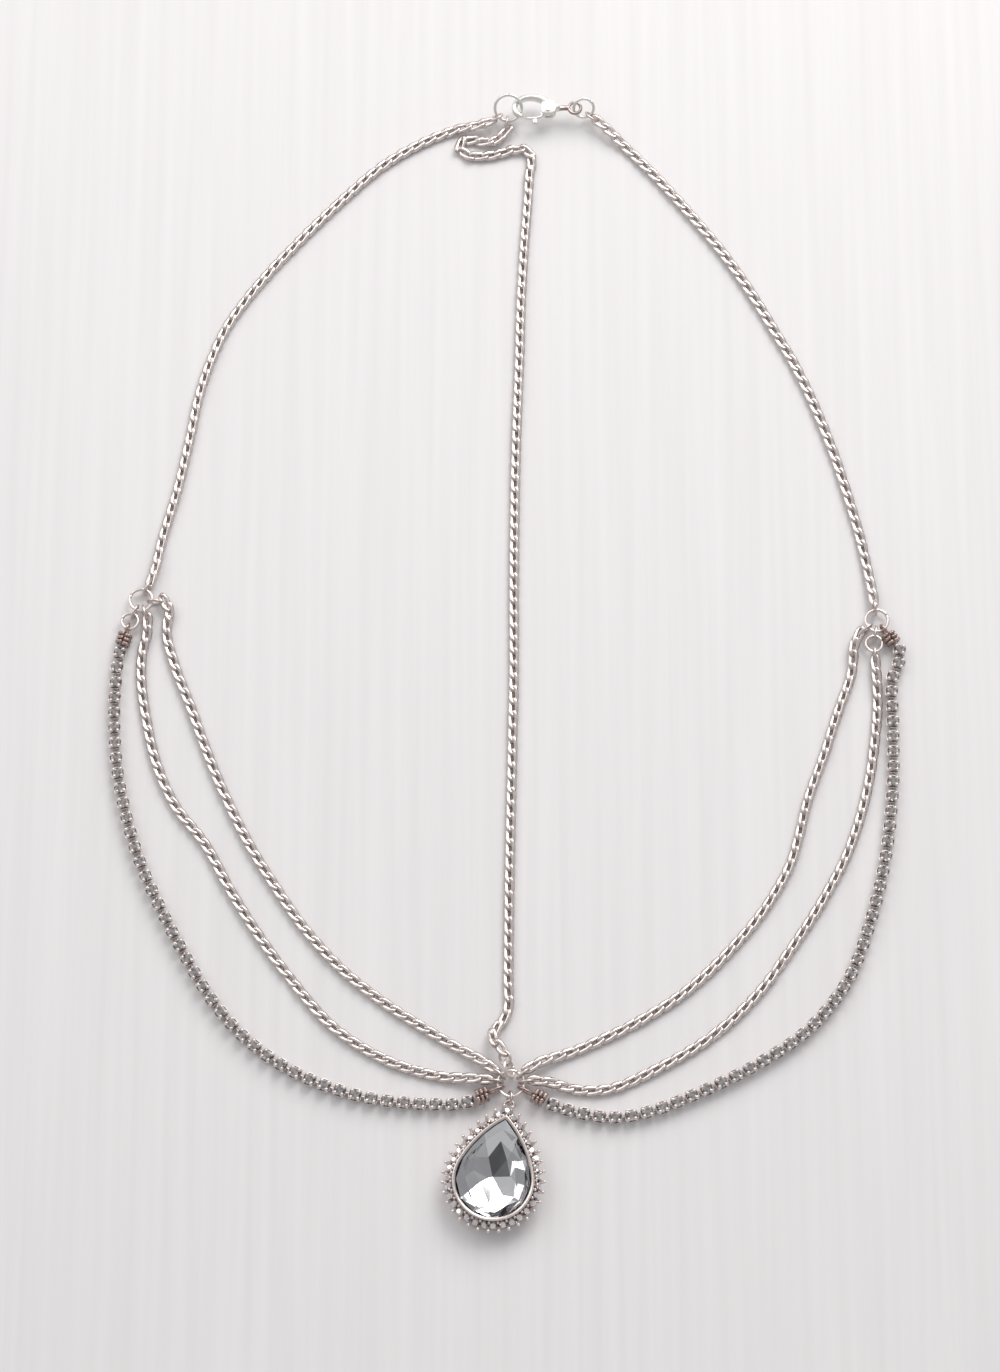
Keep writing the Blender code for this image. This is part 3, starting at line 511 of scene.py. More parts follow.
def openRing(name, finish):
    # a wire ring r(cos t, sin t) with a fine cut between its ends
    diameter, cutAt = ringSizes[name]
    middle, _, _, normal = loopFrame(name)
    normal = normal * (1.0 if normal[2] > 0 else -1.0)
    ahead = planFrame(cutAt)
    ahead = unit(ahead - normal * ahead.dot(normal))
    side = np.cross(normal, ahead)
    radius = diameter / 2.0 * mm
    half = ringMake["cut"] * mm / 2.0 / radius
    turn = np.linspace(half, 2.0 * math.pi - half, ringMake["steps"])[:, None]
    path = middle + radius * (np.cos(turn) * ahead + np.sin(turn) * side)
    heap = Heap()
    heap.add(*tube(path, ringMake["wire"] * mm, ringMake["sides"], normal=normal))
    dress(heap, f"{name}_wire", [finish], name)


for name in ringSizes:
    openRing(name, metals["agedSilver" if name.startswith("clasp") else "roseSilver"])

linkMake = {
    "wire": 0.27, "halfHeight": 1.16, "halfLength": 1.56, "pendantHalf": 1.36, "steps": 32, "sides": 10,
    "shadeMark": 0.35,
}


def ovalWire(middle, longWay, shortWay, normal, halfLength):
    # an oval a cos t, b sin t of round wire
    turn = fullTurn(linkMake["steps"])[:, None]
    path = middle + halfLength * mm * np.cos(turn) * longWay
    path = path + linkMake["halfHeight"] * mm * np.sin(turn) * shortWay
    return tube(path, linkMake["wire"] * mm, linkMake["sides"], closed=True, normal=normal)


def ovalLink(name, halfLength):
    # one link in the plane of its node
    heap = Heap()
    # painted shade over the whole link, darkening the links that crowd round the rings
    heap.add(*ovalWire(*loopFrame(name), halfLength), marks=linkMake["shadeMark"])
    dress(heap, f"{name}_wire", [metals["roseSilver"]], name)


endLinks = [f"{chain}_{end}_link" for end in ("first", "last") for chain in curbRoutes]
for name in (*endLinks, "left_lower_link", "right_lower_link"):
    ovalLink(name, linkMake["halfLength"])
ovalLink("pendant_link", linkMake["pendantHalf"])
print("rings and links made")


# curb chains

curb = {
    "width": 2.35, "wire": 0.49, "pitch": 2.75, "steps": 14, "sides": 6, "twist": -45.0, "bluntness": 2.5,
    "half": 0.70, "rest": 0.72, "rise": 9.0, "lead": 0.9, "gap": 0.3, "inset": 0.065, "rollSpread": 5.0,
    "seed": 11, "tuckFrom": 0.72, "tuckShade": 0.6, "lowReach": 1.2, "lowShade": 0.35,
}
rollDice = np.random.default_rng(curb["seed"])


def curbLink():
    # an oval, y turned about x by an angle that grows with x, so that neighbours cross and lie flat
    wire = curb["wire"] * mm
    halfLength = curb["pitch"] / 2.0 * mm + wire
    halfWidth = curb["width"] / 2.0 * mm - wire
    turn = fullTurn(curb["steps"])
    blunt = np.tanh(curb["bluntness"] * np.cos(turn)) / math.tanh(curb["bluntness"])
    x = halfWidth * np.cos(turn) + (halfLength - halfWidth) * blunt
    flat = halfWidth * np.sin(turn)
    twist = math.radians(curb["twist"]) * x / halfLength
    path = np.stack([x, flat * np.cos(twist), flat * np.sin(twist)], axis=1)
    normal = np.stack([np.zeros_like(x), -np.sin(twist), np.cos(twist)], axis=1)
    verts, faces = tube(path, wire, curb["sides"], closed=True, normal=normal)
    # pressed flat: heights are drawn in under half the thickness
    half = curb["half"] * mm
    verts[:, 2] = half * np.tanh(verts[:, 2] / half)
    # painted shade where neighbours tuck in, and low down on the underside
    tuck = np.clip((np.abs(x) / halfLength - curb["tuckFrom"]) / (1.0 - curb["tuckFrom"]), 0.0, 1.0)
    low = np.clip(-verts[:, 2] / (curb["lowReach"] * wire), 0.0, 1.0)
    marks = curb["tuckShade"] * np.repeat(tuck, curb["sides"]) + curb["lowShade"] * low
    return verts, faces, np.clip(marks, 0.0, 1.0)


def linkTip(name, towards):
    # outer end of a chain's end link, and the level direction in which it points
    middle, longWay, _, _ = loopFrame(name)
    aim = unit(longWay * flatten)
    if aim.dot(np.array((*towards, 0.0)) * mm - middle * flatten) < 0.0:
        aim = -aim
    reach = (linkMake["halfLength"] + linkMake["wire"] + curb["gap"]) * mm
    return middle + aim * reach, aim


def routePath(start, startAim, route, end, endAim):
    # a smooth level path that leaves and arrives along the ends' own directions
    lead = curb["lead"] * mm
    middle = [(x * mm, y * mm, 0.0) for x, y in route]
    return smoothPath([start, start + startAim * lead, *middle, end + endAim * lead, end])


def curbChain(name):
    # links at even steps along the route, raised to the end links at both ends
    route = curbRoutes[name]
    start, startAim = linkTip(f"{name}_first_link", route[0])
    end, endAim = linkTip(f"{name}_last_link", route[-1])
    fine, lengths = routePath(start * flatten, startAim, route, end * flatten, endAim)
    total = lengths[-1]
    inset = curb["inset"] * mm
    count = round((total - 2.0 * inset) / (curb["pitch"] * mm)) + 1
    stations = np.linspace(inset, total - inset, count)
    points = alongPath(fine, lengths, stations)
    points = levelled(points, stations, total, (start[2], end[2]), curb["rest"] * mm, curb["rise"] * mm)
    roll = np.radians(rollDice.normal(0.0, curb["rollSpread"], count))
    heap = Heap()
    verts, faces, marks = curbLink()
    heap.addCopies(verts, faces, points, travelFrames(points, roll), marks=marks)
    dress(heap, f"{name}_links", [metals["roseSilver"]], name)


for name in curbRoutes:
    curbChain(name)
print("curb chains made")


# cut stones and beads

# each ring's shares of the stone's width and height, and its turn in sides
roundCut = {"sides": 8, "rings": ((0.5, 0.0, 0.0), (0.5, 0.12, 0.0), (0.40, 0.62, 0.5), (0.27, 1.0, 0.0))}


def roundStone(width, height):
    # girdle, crown and table rings of a round cut, the crown points half a side on
    sides = roundCut["sides"]
    verts = []
    for share, level, shift in roundCut["rings"]:
        turn = fullTurn(sides) + shift * 2.0 * math.pi / sides
        verts.append(polar(share * width, turn, level * height))
    return np.vstack(verts), cutFaces(sides)


def cutFaces(sides):
    # girdle band, lower facets, kites, stars and table over four rings of this many points
    girdle, crown, table = sides, 2 * sides, 3 * sides
    faces = []
    for k in range(sides):
        n = (k + 1) % sides
        faces.append((k, n, girdle + n, girdle + k))
        faces.append((girdle + k, girdle + n, crown + k))
        faces.append((girdle + n, crown + n, crown + k))
        faces.append((crown + k, table + n, table + k))
        faces.append((crown + k, crown + n, table + n))
    faces.append(tuple(range(sides))[::-1])
    faces.append(tuple(table + k for k in range(sides)))
    return faces


def ball(radius, sides=8, rows=5, cap=0.18):
    # r (sin v cos u, sin v sin u, cos v), cut flat at this angle from each pole
    u = fullTurn(sides)[None, :]
    v = np.linspace(cap, math.pi - cap, rows)[:, None]
    x, y, z = np.sin(v) * np.cos(u), np.sin(v) * np.sin(u), np.cos(v) * np.ones_like(u)
    return radius * np.stack([x, y, z], axis=-1).reshape(-1, 3), cappedFaces(rows, sides)


# cup chains

clip = {
    "length": 2.5, "overlap": 0.3, "loopHalf": 1.16, "play": 1.03, "loopMark": 0.1, "loopClear": 0.2,
    "footFrom": 0.5,
}
# each clip's place, ring, heading in degrees and how much longer its loop is
clipEnds = {
    "left": (("side", "left_lower_ring", -106, 0.0), ("centre", "centre_ring", 203, 0.6)),
    "right": (("side", "right_ring", -55, 0.0), ("centre", "centre_ring", -27, 0.6)),
}
cup = {
    "pitch": 3.25, "width": 2.9, "sides": 16, "squareness": 4, "rimWave": 0.06, "rimFrom": 1.2,
    "darkBelow": 1.0, "dark": 0.8, "stone": 2.35, "stoneRise": 0.95, "stoneAt": 1.4, "bead": 0.46,
    "beadOut": 1.02, "beadAt": 2.0, "barWire": 0.5, "barAt": 0.42, "barSides": 6, "barMark": 0.6,
    # painted shade of each point of a stone, its dark and bright points standing in for the facets'
    # reflections: girdle, crown and table rings
    "facetShades": (0.8,) * 16 + (0.8, 0.2, 0.6, 0.1) * 2 + (0.0, 0.75, 0.5, 0.3) * 2,
    # radius and height of each level of the wall
    "wall": ((1.0, 0.0), (1.02, 0.25), (1.2, 0.85), (1.36, 1.4), (1.36, 1.5), (1.2, 1.5), (1.15, 1.3)),
    # radius, height and wire of a prong from its foot to its tip
    "prong": (
        (1.22, 0.5, 0.17), (1.36, 1.05, 0.19), (1.40, 1.55, 0.21), (1.27, 1.9, 0.24), (1.02, 2.05, 0.20),
    ),
    "prongSides": 6, "seed": 23,
}
cupRoutes = {
    "left": (
        (-81.0, -8.3), (-81.2, -15.3), (-80.3, -27.3), (-78.1, -37.8), (-75.1, -47.3), (-70.6, -57.3),
        (-65.3, -67.3), (-59.8, -76.3), (-52.3, -84.8), (-42.8, -91.3), (-31.8, -95.6), (-20.8, -97.5),
    ),
    "right": (
        (79.6, -8.3), (79.4, -18.3), (79.0, -31.3), (77.0, -46.8), (73.5, -60.3), (68.7, -72.3),
        (60.7, -82.3), (50.7, -89.3), (38.7, -95.3), (27.7, -99.5), (20.2, -100.5),
    ),
}
prongAims = [planFrame(45.0 + 90.0 * k) for k in range(4)]


def clipReach(ringName, stretch):
    # in mm, half the length of a clip's loop, and how far from the ring's middle loop and foot lie
    halfLength = clip["loopHalf"] + stretch
    loopAway = ringSizes[ringName][0] / 2.0 + halfLength - clip["play"]
    return halfLength, loopAway, loopAway + halfLength + linkMake["wire"] - clip["overlap"]


def cupWall():
    # a tapering cup, its plan |x|^4 + |y|^4 = r^4, the rim waved by cos 4a
    turn = fullTurn(cup["sides"])
    power = cup["squareness"]
    square = (np.cos(turn) ** power + np.sin(turn) ** power) ** (-1.0 / power)
    wave = cup["rimWave"] * mm * np.cos(4.0 * (turn - math.pi / 4.0))
    verts = []
    for radius, height in np.array(cup["wall"]) * mm:
        level = height + wave * (height > cup["rimFrom"] * mm)
        verts.append(polar(radius * square, turn, level))
    verts = np.vstack(verts)
    # painted shade: the wall darkens towards its foot, below darkBelow
    marks = np.clip(1.0 - verts[:, 2] / (cup["darkBelow"] * mm), 0.0, 1.0) * cup["dark"]
    return verts, cappedFaces(len(cup["wall"]), cup["sides"]), marks


def prong(aim):
    # a claw that climbs the wall and folds in over the stone
    reach, height, wire = (np.array(cup["prong"]) * mm).T
    path = reach[:, None] * aim + height[:, None] * skyward
    return tube(path, wire, cup["prongSides"], normal=np.cross(skyward, aim))


def cupRow(side):
    # cups at even steps from clip to clip, their stones turned at random, and a bar below
    spots = []
    for _, ringName, heading, stretch in clipEnds[side]:
        away = clipReach(ringName, stretch)[2] + clip["length"]
        away += curb["gap"] + cup["width"] / 2.0
        aim = planFrame(heading)
        spots += [loopFrame(ringName)[0] * flatten + aim * away * mm, aim]
    start, startAim, end, endAim = spots
    fine, lengths = routePath(start, startAim, cupRoutes[side], end, endAim)
    count = round(lengths[-1] / (cup["pitch"] * mm)) + 1
    points = alongPath(fine, lengths, np.linspace(0.0, lengths[-1], count))
    axes = travelFrames(points)
    heap = Heap()
    verts, faces, marks = cupWall()
    heap.addCopies(verts, faces, points, axes, marks=marks)
    for aim in prongAims:
        heap.addCopies(*prong(aim), points, axes)
    turned = np.random.default_rng(cup["seed"]).uniform(-1.0, 1.0, (count, 2))[:, :1] * math.pi
    c, s = np.cos(turned), np.sin(turned)
    across, left, up = axes[:, 0], axes[:, 1], axes[:, 2]
    stoneAxes = np.stack([c * across + s * left, c * left - s * across, up], axis=1)
    verts, faces = roundStone(cup["stone"] * mm, cup["stoneRise"] * mm)
    verts = verts + skyward * cup["stoneAt"] * mm
    # painted shade on the stones: the facets show dark or bright by their marks
    heap.addCopies(verts, faces, points, stoneAxes, finish=1, smooth=False, marks=cup["facetShades"])
    verts, faces = ball(cup["bead"] * mm)
    for aim in prongAims:
        spot = aim * cup["beadOut"] * mm + skyward * cup["beadAt"] * mm
        heap.addCopies(verts + spot, faces, points, axes)
    bar = alongPath(fine, lengths, np.linspace(0.0, lengths[-1], 2 * count))
    bar[:, 2] = cup["barAt"] * mm
    # painted shade on the bar that runs under the cups
    heap.add(*tube(bar, cup["barWire"] * mm, cup["barSides"]), marks=cup["barMark"])
    finishes = [metals["cupSilver"], stones["cup"]]
    dress(heap, f"cup_chain_{side}_row", finishes, f"cup_chain_{side}")


for side in cupRoutes:
    cupRow(side)
print("cup chains made")


# the outline of the pear stone

pear = {"radius": 7.5, "height": 12.5, "shoulder": 20.0, "swing": -11.5, "fine": 120}
pearAcross, pearUp = planFrame(pear["swing"]), planFrame(pear["swing"] + 90.0)


def pearLoop(offset, count, shift=0.0):
    # a round end and two side arcs, offset outward, at even steps from the bottom
    radius, height, shoulder = pear["radius"], pear["height"], math.radians(pear["shoulder"])
    rise = math.sin(shoulder)
    side = (height ** 2 + radius ** 2 - 2.0 * height * radius * rise) / (2.0 * (radius - height * rise))
    hub = np.array((-(side - radius) * math.cos(shoulder), -(side - radius) * rise))
    turns = np.linspace(shoulder, math.acos(-hub[0] / (side + offset)), pear["fine"])
    arc = hub + (side + offset) * np.stack([np.cos(turns), np.sin(turns)], 1)
    turns = np.linspace(-math.pi / 2.0, shoulder, pear["fine"], endpoint=False)
    half = np.concatenate([(radius + offset) * np.stack([np.cos(turns), np.sin(turns)], 1), arc])
    whole = np.concatenate([half, (half * (-1.0, 1.0))[-2::-1]])
    lengths = arcLengths(whole)
    return alongPath(whole, lengths, (np.arange(count) + shift) / count * lengths[-1])


def findPearMiddle():
    # the centre of the stone's round end, level with the floor
    points = nodePoints("main_stone")
    across, up = points @ pearAcross, points @ pearUp
    return pearAcross * (across.min() + across.max()) / 2.0 + pearUp * (up.min() + pear["radius"] * mm)


pearMiddle = findPearMiddle()


def onPendant(flat, height):
    # millimetres in the pendant's own axes to metres in the frame
    flat = np.asarray(flat, dtype=float) * mm
    level = np.broadcast_to(np.asarray(height, dtype=float) * mm, len(flat))
    return pearMiddle + flat[:, :1] * pearAcross + flat[:, 1:] * pearUp + level[:, None] * skyward


# the pear stone's setting

setting = {
    "around": 136, "count": 34, "seed": 5, "stone": 1.6, "stoneRise": 0.8, "stoneAt": 3.25, "bed": 1.375,
    "lean": 14.0, "wobble": 0.14, "spikeSides": 6, "tip": 0.38, "bead": 0.32, "beadOffset": 0.98,
    "beadAt": 3.85,
    "loopRadius": 1.0, "loopWire": 0.3, "loopAt": 1.9, "loopSteps": 28, "loopSides": 10, "loopMark": 0.3,
    # offset from the stone, height and painted shade round the wall, darkest inside the bezel and at its
    # foot: inside, lip, halo floor, outside
    "wall": (
        (0.30, 0.70, 0.9), (0.30, 3.90, 0.7), (-0.02, 4.38, 0.5), (0.04, 4.52, 0.35), (0.34, 4.64, 0.1),
        (0.50, 4.68, 0.0), (0.64, 4.60, 0.0), (0.72, 4.35, 0.2), (0.74, 3.45, 0.8), (0.95, 3.25, 0.9),
        (1.80, 3.20, 0.9), (2.02, 3.05, 0.5), (2.05, 2.80, 0.3), (1.96, 2.30, 0.5), (1.98, 1.60, 0.4),
        (1.75, 0.15, 0.7), (1.60, 0.00, 0.8),
    ),
    # offset, height, wire and painted shade of a spike, darkest at its root, from its root to its tip
    "spike": (
        (1.45, 2.90, 0.38, 0.8), (1.95, 3.15, 0.36, 0.5), (2.40, 3.50, 0.32, 0.2), (2.68, 3.95, 0.28, 0.0),
    ),
}


def outwardFrames(flat, lean):
    # across, outward and up at each place round the stone, leaning outward
    ahead = np.roll(flat, -1, axis=0) - np.roll(flat, 1, axis=0)
    ahead = unit(ahead[:, :1] * pearAcross + ahead[:, 1:] * pearUp)
    up = np.broadcast_to(skyward, ahead.shape)
    outward = np.cross(ahead, up)
    c, s = math.cos(lean), math.sin(lean)
    return np.stack([ahead, c * outward - s * up, c * up + s * outward], axis=1)


def addWall(heap):
    # the wall's profile carried round the stone's outline
    around = setting["around"]
    loops = [onPendant(pearLoop(offset, around), height) for offset, height, _ in setting["wall"]]
    # painted shade round the wall, from the column of marks
    marks = np.repeat([mark for _, _, mark in setting["wall"]], around)
    heap.add(np.vstack(loops), cappedFaces(len(loops), around), marks=marks)


def addHalo(heap):
    # small stones on the halo's floor, each a little askew, with spikes and beads between
    count = setting["count"]
    bed = pearLoop(setting["bed"], count)
    axes = outwardFrames(bed, math.radians(setting["lean"]))
    wobble = np.random.default_rng(setting["seed"]).normal(0.0, setting["wobble"], axes.shape)
    verts, faces = roundStone(setting["stone"] * mm, setting["stoneRise"] * mm)
    middles = onPendant(bed, setting["stoneAt"])
    heap.addCopies(verts, faces, middles, unit(axes + wobble), finish=1, smooth=False)
    _, _, wires, marks = np.array(setting["spike"]).T
    stations = [onPendant(pearLoop(offset, count, 0.5), height) for offset, height, _, _ in setting["spike"]]
    sides = setting["spikeSides"]
    for path in np.stack(stations, axis=1):
        heap.add(*tube(path, wires * mm, sides), marks=np.repeat(marks, sides))
    # a bead on each spike's tip, and one against the bezel
    flatAxes = outwardFrames(pearLoop(setting["bed"], count, 0.5), 0.0)
    heap.addCopies(*ball(setting["tip"] * mm), stations[-1], flatAxes)
    beads = onPendant(pearLoop(setting["beadOffset"], count, 0.5), setting["beadAt"])
    heap.addCopies(*ball(setting["bead"] * mm), beads, flatAxes)


def addDropLoop(heap):
    # a level circle above the drop, its outer edge at the end of the CAD solid
    wire = setting["loopWire"] * mm
    far = (nodePoints("pendant_setting") @ pearUp).max() - setting["loopRadius"] * mm - wire
    middle = pearMiddle * flatten
    middle = middle + pearUp * (far - middle @ pearUp) + skyward * setting["loopAt"] * mm
    turn = fullTurn(setting["loopSteps"])[:, None]
    loop = middle + setting["loopRadius"] * mm * (np.cos(turn) * pearAcross + np.sin(turn) * pearUp)
    # a little painted shade over the whole loop
    heap.add(*tube(loop, wire, setting["loopSides"], closed=True), marks=setting["loopMark"])


def pendantSetting():
    # wall, halo and loop
    heap = Heap()
    addWall(heap)
    addHalo(heap)
    addDropLoop(heap)
    finishes = [metals["roseSilver"], stones["halo"]]
    dress(heap, "pendant_setting_work", finishes, "pendant_setting")


# the stone: a clear crown over the facets of its foil-backed underside

# offset, height and shift of each ring, and offset and height of the flat underside
crown = {
    "sides": 18, "rings": ((0.0, 4.0, 0.0), (0.0, 4.4, 0.0), (-1.2, 4.9, 0.5), (-2.5, 5.5, 0.0)),
    "under": (-2.5, 1.1),
}
bowl = {
    "low": (2.8, 2.1), "depth": 2.4, "curve": 0.021, "rim": 4.25, "rimOffset": -0.12, "rimCount": 132,
    "rimStep": 6, "hub": 2.0,
    # how far these corners stand off the bowl's curve
    "lifts": {"Z": 0.15, "Y": -0.44, "e": -0.05, "G": 0.26, "F": 0.12},
}
corners = {
    "A": (-0.1, 8.1), "B": (-1.9, 4.5), "C": (-0.3, 0.8), "D": (3.1, 1.6), "E": (1.8, 4.8),
    "F": (-0.1, 10.2), "G": (-3.0, 7.4), "H": (-4.4, 3.9), "I": (-4.3, 1.2), "J": (-1.1, 0.4),
    "K": (-2.5, -0.8), "L": (-4.1, -3.0), "M": (-5.6, -0.5), "N": (-2.3, -6.0), "O": (0.3, -5.2),
    "Q": (1.9, -5.9), "R": (3.3, -4.4), "S": (2.4, -2.5), "T": (4.4, 0.6), "U": (4.5, -2.3),
    "V": (5.7, -2.8), "W": (2.4, 6.4), "X": (2.6, 7.9), "Y": (4.4, 5.1), "Z": (3.7, 3.6),
    "e": (2.9, 4.6), "p": (6.1, 0.4), "q": (5.5, 3.4), "r": (-5.7, 3.0),
}
# the corners of each facet and its painted shade, which sets how dark its reflection shows
facets = (
    ("ABCE", 0.86), ("ECD", 0.76), ("FGA", 0.0), ("GBA", 0.0), ("GHB", 0.28), ("HIB", 0.44), ("BIJC", 0.46),
    ("IMLK", 0.34), ("IKJ", 0.28), ("JKC", 0.0), ("KLN", 0.0), ("KNO", 0.0), ("CKO", 0.0), ("COS", 0.0),
    ("SOQ", 0.0), ("SQR", 0.05), ("CSUTD", 0.0), ("SRU", 0.36), ("RVU", 0.34), ("UVT", 0.44),
    ("TZD", 0.22), ("DZeE", 0.46), ("eZY", 0.0), ("EeYW", 0.44), ("AEW", 0.34), ("FAWX", 0.0),
    ("XWY", 0.24), ("TpqZ", 0.42), ("ZqY", 0.12), ("VpT", 0.48), ("HrMI", 0.46), ("GrH", 0.34),
)
# the outermost corners in order, and the painted shade of the facet from each to the next
frameShades = {
    "N": 0.10, "O": 0.70, "Q": 0.72, "R": 0.36, "V": 0.44, "p": 0.36, "q": 0.06, "Y": 0.10, "X": 0.04,
    "F": 0.10, "G": 0.34, "r": 0.44, "M": 0.46, "L": 0.60,
}


def facetHeights(letters):
    # the bowl's curve, depth + curve r^2 from its lowest point, and the lift of each corner
    away = np.array([corners[c] for c in letters]) - bowl["low"]
    lifts = [bowl["lifts"].get(c, 0.0) for c in letters]
    return bowl["depth"] + bowl["curve"] * (away ** 2).sum(axis=-1) + lifts


def addCrown(heap):
    # four rings and a table, and the glass below them down to a flat underside, round the foil
    sides = crown["sides"]
    verts = [onPendant(pearLoop(offset, sides, shift), height) for offset, height, shift in crown["rings"]]
    underOffset, underHeight = crown["under"]
    verts.append(onPendant(pearLoop(underOffset, sides), underHeight))
    under = len(crown["rings"]) * sides
    faces = [f for f in cutFaces(sides) if f != tuple(range(sides))[::-1]]
    faces += [(under + k, under + (k + 1) % sides, (k + 1) % sides, k) for k in range(sides)]
    faces.append(tuple(under + k for k in range(sides))[::-1])
    heap.add(np.vstack(verts), faces, smooth=False)


def addFacet(heap, flat, heights, shade):
    # one mirror facet
    heap.add(onPendant(flat, heights), [tuple(range(len(flat)))], finish=1, smooth=False, marks=shade)


def addFrameFacets(heap):
    # facets from the outermost corners out to the rim, at the same angles about the hub
    rim = pearLoop(bowl["rimOffset"], bowl["rimCount"])
    frameFlat = np.array([corners[c] for c in frameShades])
    angles = (np.arctan2(flat[:, 0], bowl["hub"] - flat[:, 1]) for flat in (rim, frameFlat))
    rimAngle, frameAngle = angles
    near = np.abs(np.angle(np.exp(1j * (frameAngle[:, None] - rimAngle[None])))).argmin(axis=1)
    letters = list(frameShades)
    for k, letter in enumerate(letters):
        n = (k + 1) % len(letters)
        span = (near[n] - near[k]) % len(rim)
        steps = np.linspace(0, span, max(2, span // bowl["rimStep"] + 1)).round().astype(int)
        between = (near[k] + steps) % len(rim)
        flat = np.vstack([frameFlat[n], frameFlat[k], rim[between]])
        heights = np.append(facetHeights(letters[n] + letter), np.full(len(between), bowl["rim"]))
        addFacet(heap, flat, heights, frameShades[letter])


def pearStone():
    # crown and facets
    heap = Heap()
    addCrown(heap)
    for letters, shade in facets:
        addFacet(heap, [corners[c] for c in letters], facetHeights(letters), shade)
    addFrameFacets(heap)
    dress(heap, "pear_stone_cut", [stones["clear"], stones["foil"]], "main_stone")


pendantSetting()
pearStone()
print("pendant made")


# cup chain clips

trough = {
    "steps": 9, "sides": 16, "from": 0.05, "length": 2.4, "half": 1.0, "height": 0.95, "rise": 0.85,
    "ends": (0.06, 0.94), "roundness": 0.35, "mark": 0.55,
}
claws = {
    "rows": (0.30, 1.20, 2.10), "skew": 0.1, "sides": 8, "bead": 0.44, "beadSides": 10, "beadRows": 6,
    # across, up, wire and painted shade of a folded claw, darkest at its foot, from its foot to its tip
    "shape": (
        (1.10, 0.25, 0.26, 0.7), (1.28, 0.90, 0.32, 0.5), (1.26, 1.60, 0.37, 0.2), (0.94, 2.20, 0.40, 0.0),
        (0.42, 2.32, 0.34, 0.0),
    ),
}


def clipTrough():
    # a flat pipe, (x, h s cos v, z + r s sin v), its swell s a power of sin so that both ends are round
    u = np.linspace(0.0, 1.0, trough["steps"])[:, None]
    v = fullTurn(trough["sides"])[None, :]
    swell = np.sin(math.pi * np.clip(u, *trough["ends"])) ** trough["roundness"]
    x = (trough["from"] + trough["length"] * u) * np.ones_like(v)
    y = trough["half"] * swell * np.cos(v)
    z = trough["height"] + trough["rise"] * swell * np.sin(v)
    grid = np.stack([x, y, z], axis=-1).reshape(-1, 3) * mm
    return grid, cappedFaces(trough["steps"], trough["sides"])


def clipEnd(side, place, ringName, heading, stretch):
    # a loop on the ring, a trough, and three pairs of claws over the last cup's foot
    node = f"cup_end_{side}_{place}"
    points, ringMiddle, aim = nodePoints(node), loopFrame(ringName)[0], planFrame(heading)
    halfLength, loopAway, start = clipReach(ringName, stretch)
    along = (points - ringMiddle) @ aim
    loopHeights = points[along < (start - clip["loopClear"]) * mm][:, 2]
    level = (loopHeights.min() + loopHeights.max()) / 2.0
    ground = ringMiddle * flatten
    across = np.cross(skyward, aim)
    loopMiddle = ground + aim * loopAway * mm + skyward * level
    heap = Heap()
    # a little painted shade over the whole loop
    heap.add(*ovalWire(loopMiddle, aim, skyward, across, halfLength), marks=clip["loopMark"])
    foot = points[along > (start + clip["footFrom"]) * mm][:, 2].min()
    origin = ground + aim * start * mm + skyward * foot
    axes = np.stack([aim, across, skyward])
    grid, faces = clipTrough()
    # painted shade over the trough, which lies under the claws
    heap.add(origin + grid @ axes, faces, marks=trough["mark"])
    beadVerts, beadFaces = ball(claws["bead"] * mm, claws["beadSides"], claws["beadRows"])
    _, _, wires, marks = np.array(claws["shape"]).T
    for row, sign in ((r, s) for r in claws["rows"] for s in (-1.0, 1.0)):
        path = np.array([(row + claws["skew"] * sign, sign * y, z) for y, z, _, _ in claws["shape"]]) * mm
        verts, faces = tube(origin + path @ axes, wires * mm, claws["sides"], normal=aim)
        heap.add(verts, faces, marks=np.repeat(marks, claws["sides"]))
        heap.add(origin + path[-1] @ axes + beadVerts, beadFaces)
    dress(heap, f"{node}_claws", [metals["darkCopper"]], node)


for side, ends in clipEnds.items():
    for end in ends:
        clipEnd(side, *end)
print("clips made")


# lobster clasp

clasp = {
    "centre": (6.2, 120.5, 3.37), "length": 7.4, "width": 5.0, "shift": 1.0, "sides": 14,
    "pivot": (2.6, -0.9),
    # the claw: its arc's ends, the points that lead in, and its wire at shares of its length
    "hook": (30.0, 240.0), "hookSteps": 26, "leadSteps": 6,
    "lead": ((5.2, 0.0, 0.0), (4.5, 0.1, 0.0), (3.4, 0.62, 0.0)),
    "hookShares": (0.0, 0.12, 0.42, 0.72, 0.96, 1.0), "hookWires": (0.55, 0.92, 0.95, 0.72, 0.60, 0.36),
    # the cheeks: share of the outline and height of each level
    "cheekMiddle": (2.65, -0.22), "cheekHalf": (1.70, 1.85), "cheekSteps": 40, "squareness": 2.6,
    "cheekLevels": ((0.90, 0.70), (1.0, 0.76), (1.0, 0.92), (0.93, 1.05), (0.72, 1.12), (0.35, 1.16)),
    # the pin: height and wire, with a low domed head on each side
    "pin": ((-1.28, 0.2), (-1.22, 0.42), (-1.1, 0.35), (1.1, 0.35), (1.22, 0.42), (1.28, 0.2)),
    # the neck: distance along, wire and painted shade
    "neck": (
        (4.1, 0.9, 0.0), (4.6, 0.85, 0.2), (5.4, 0.62, 0.7), (6.4, 0.55, 0.9), (7.1, 0.6, 0.9),
        (7.35, 0.5, 0.8),
    ),
    "neckFlat": 0.62,
    "eyeAt": 8.35, "eyeRadius": 1.3, "eyeWire": 0.35, "eyeSteps": 28, "eyeSides": 10, "eyeMark": 0.75,
}
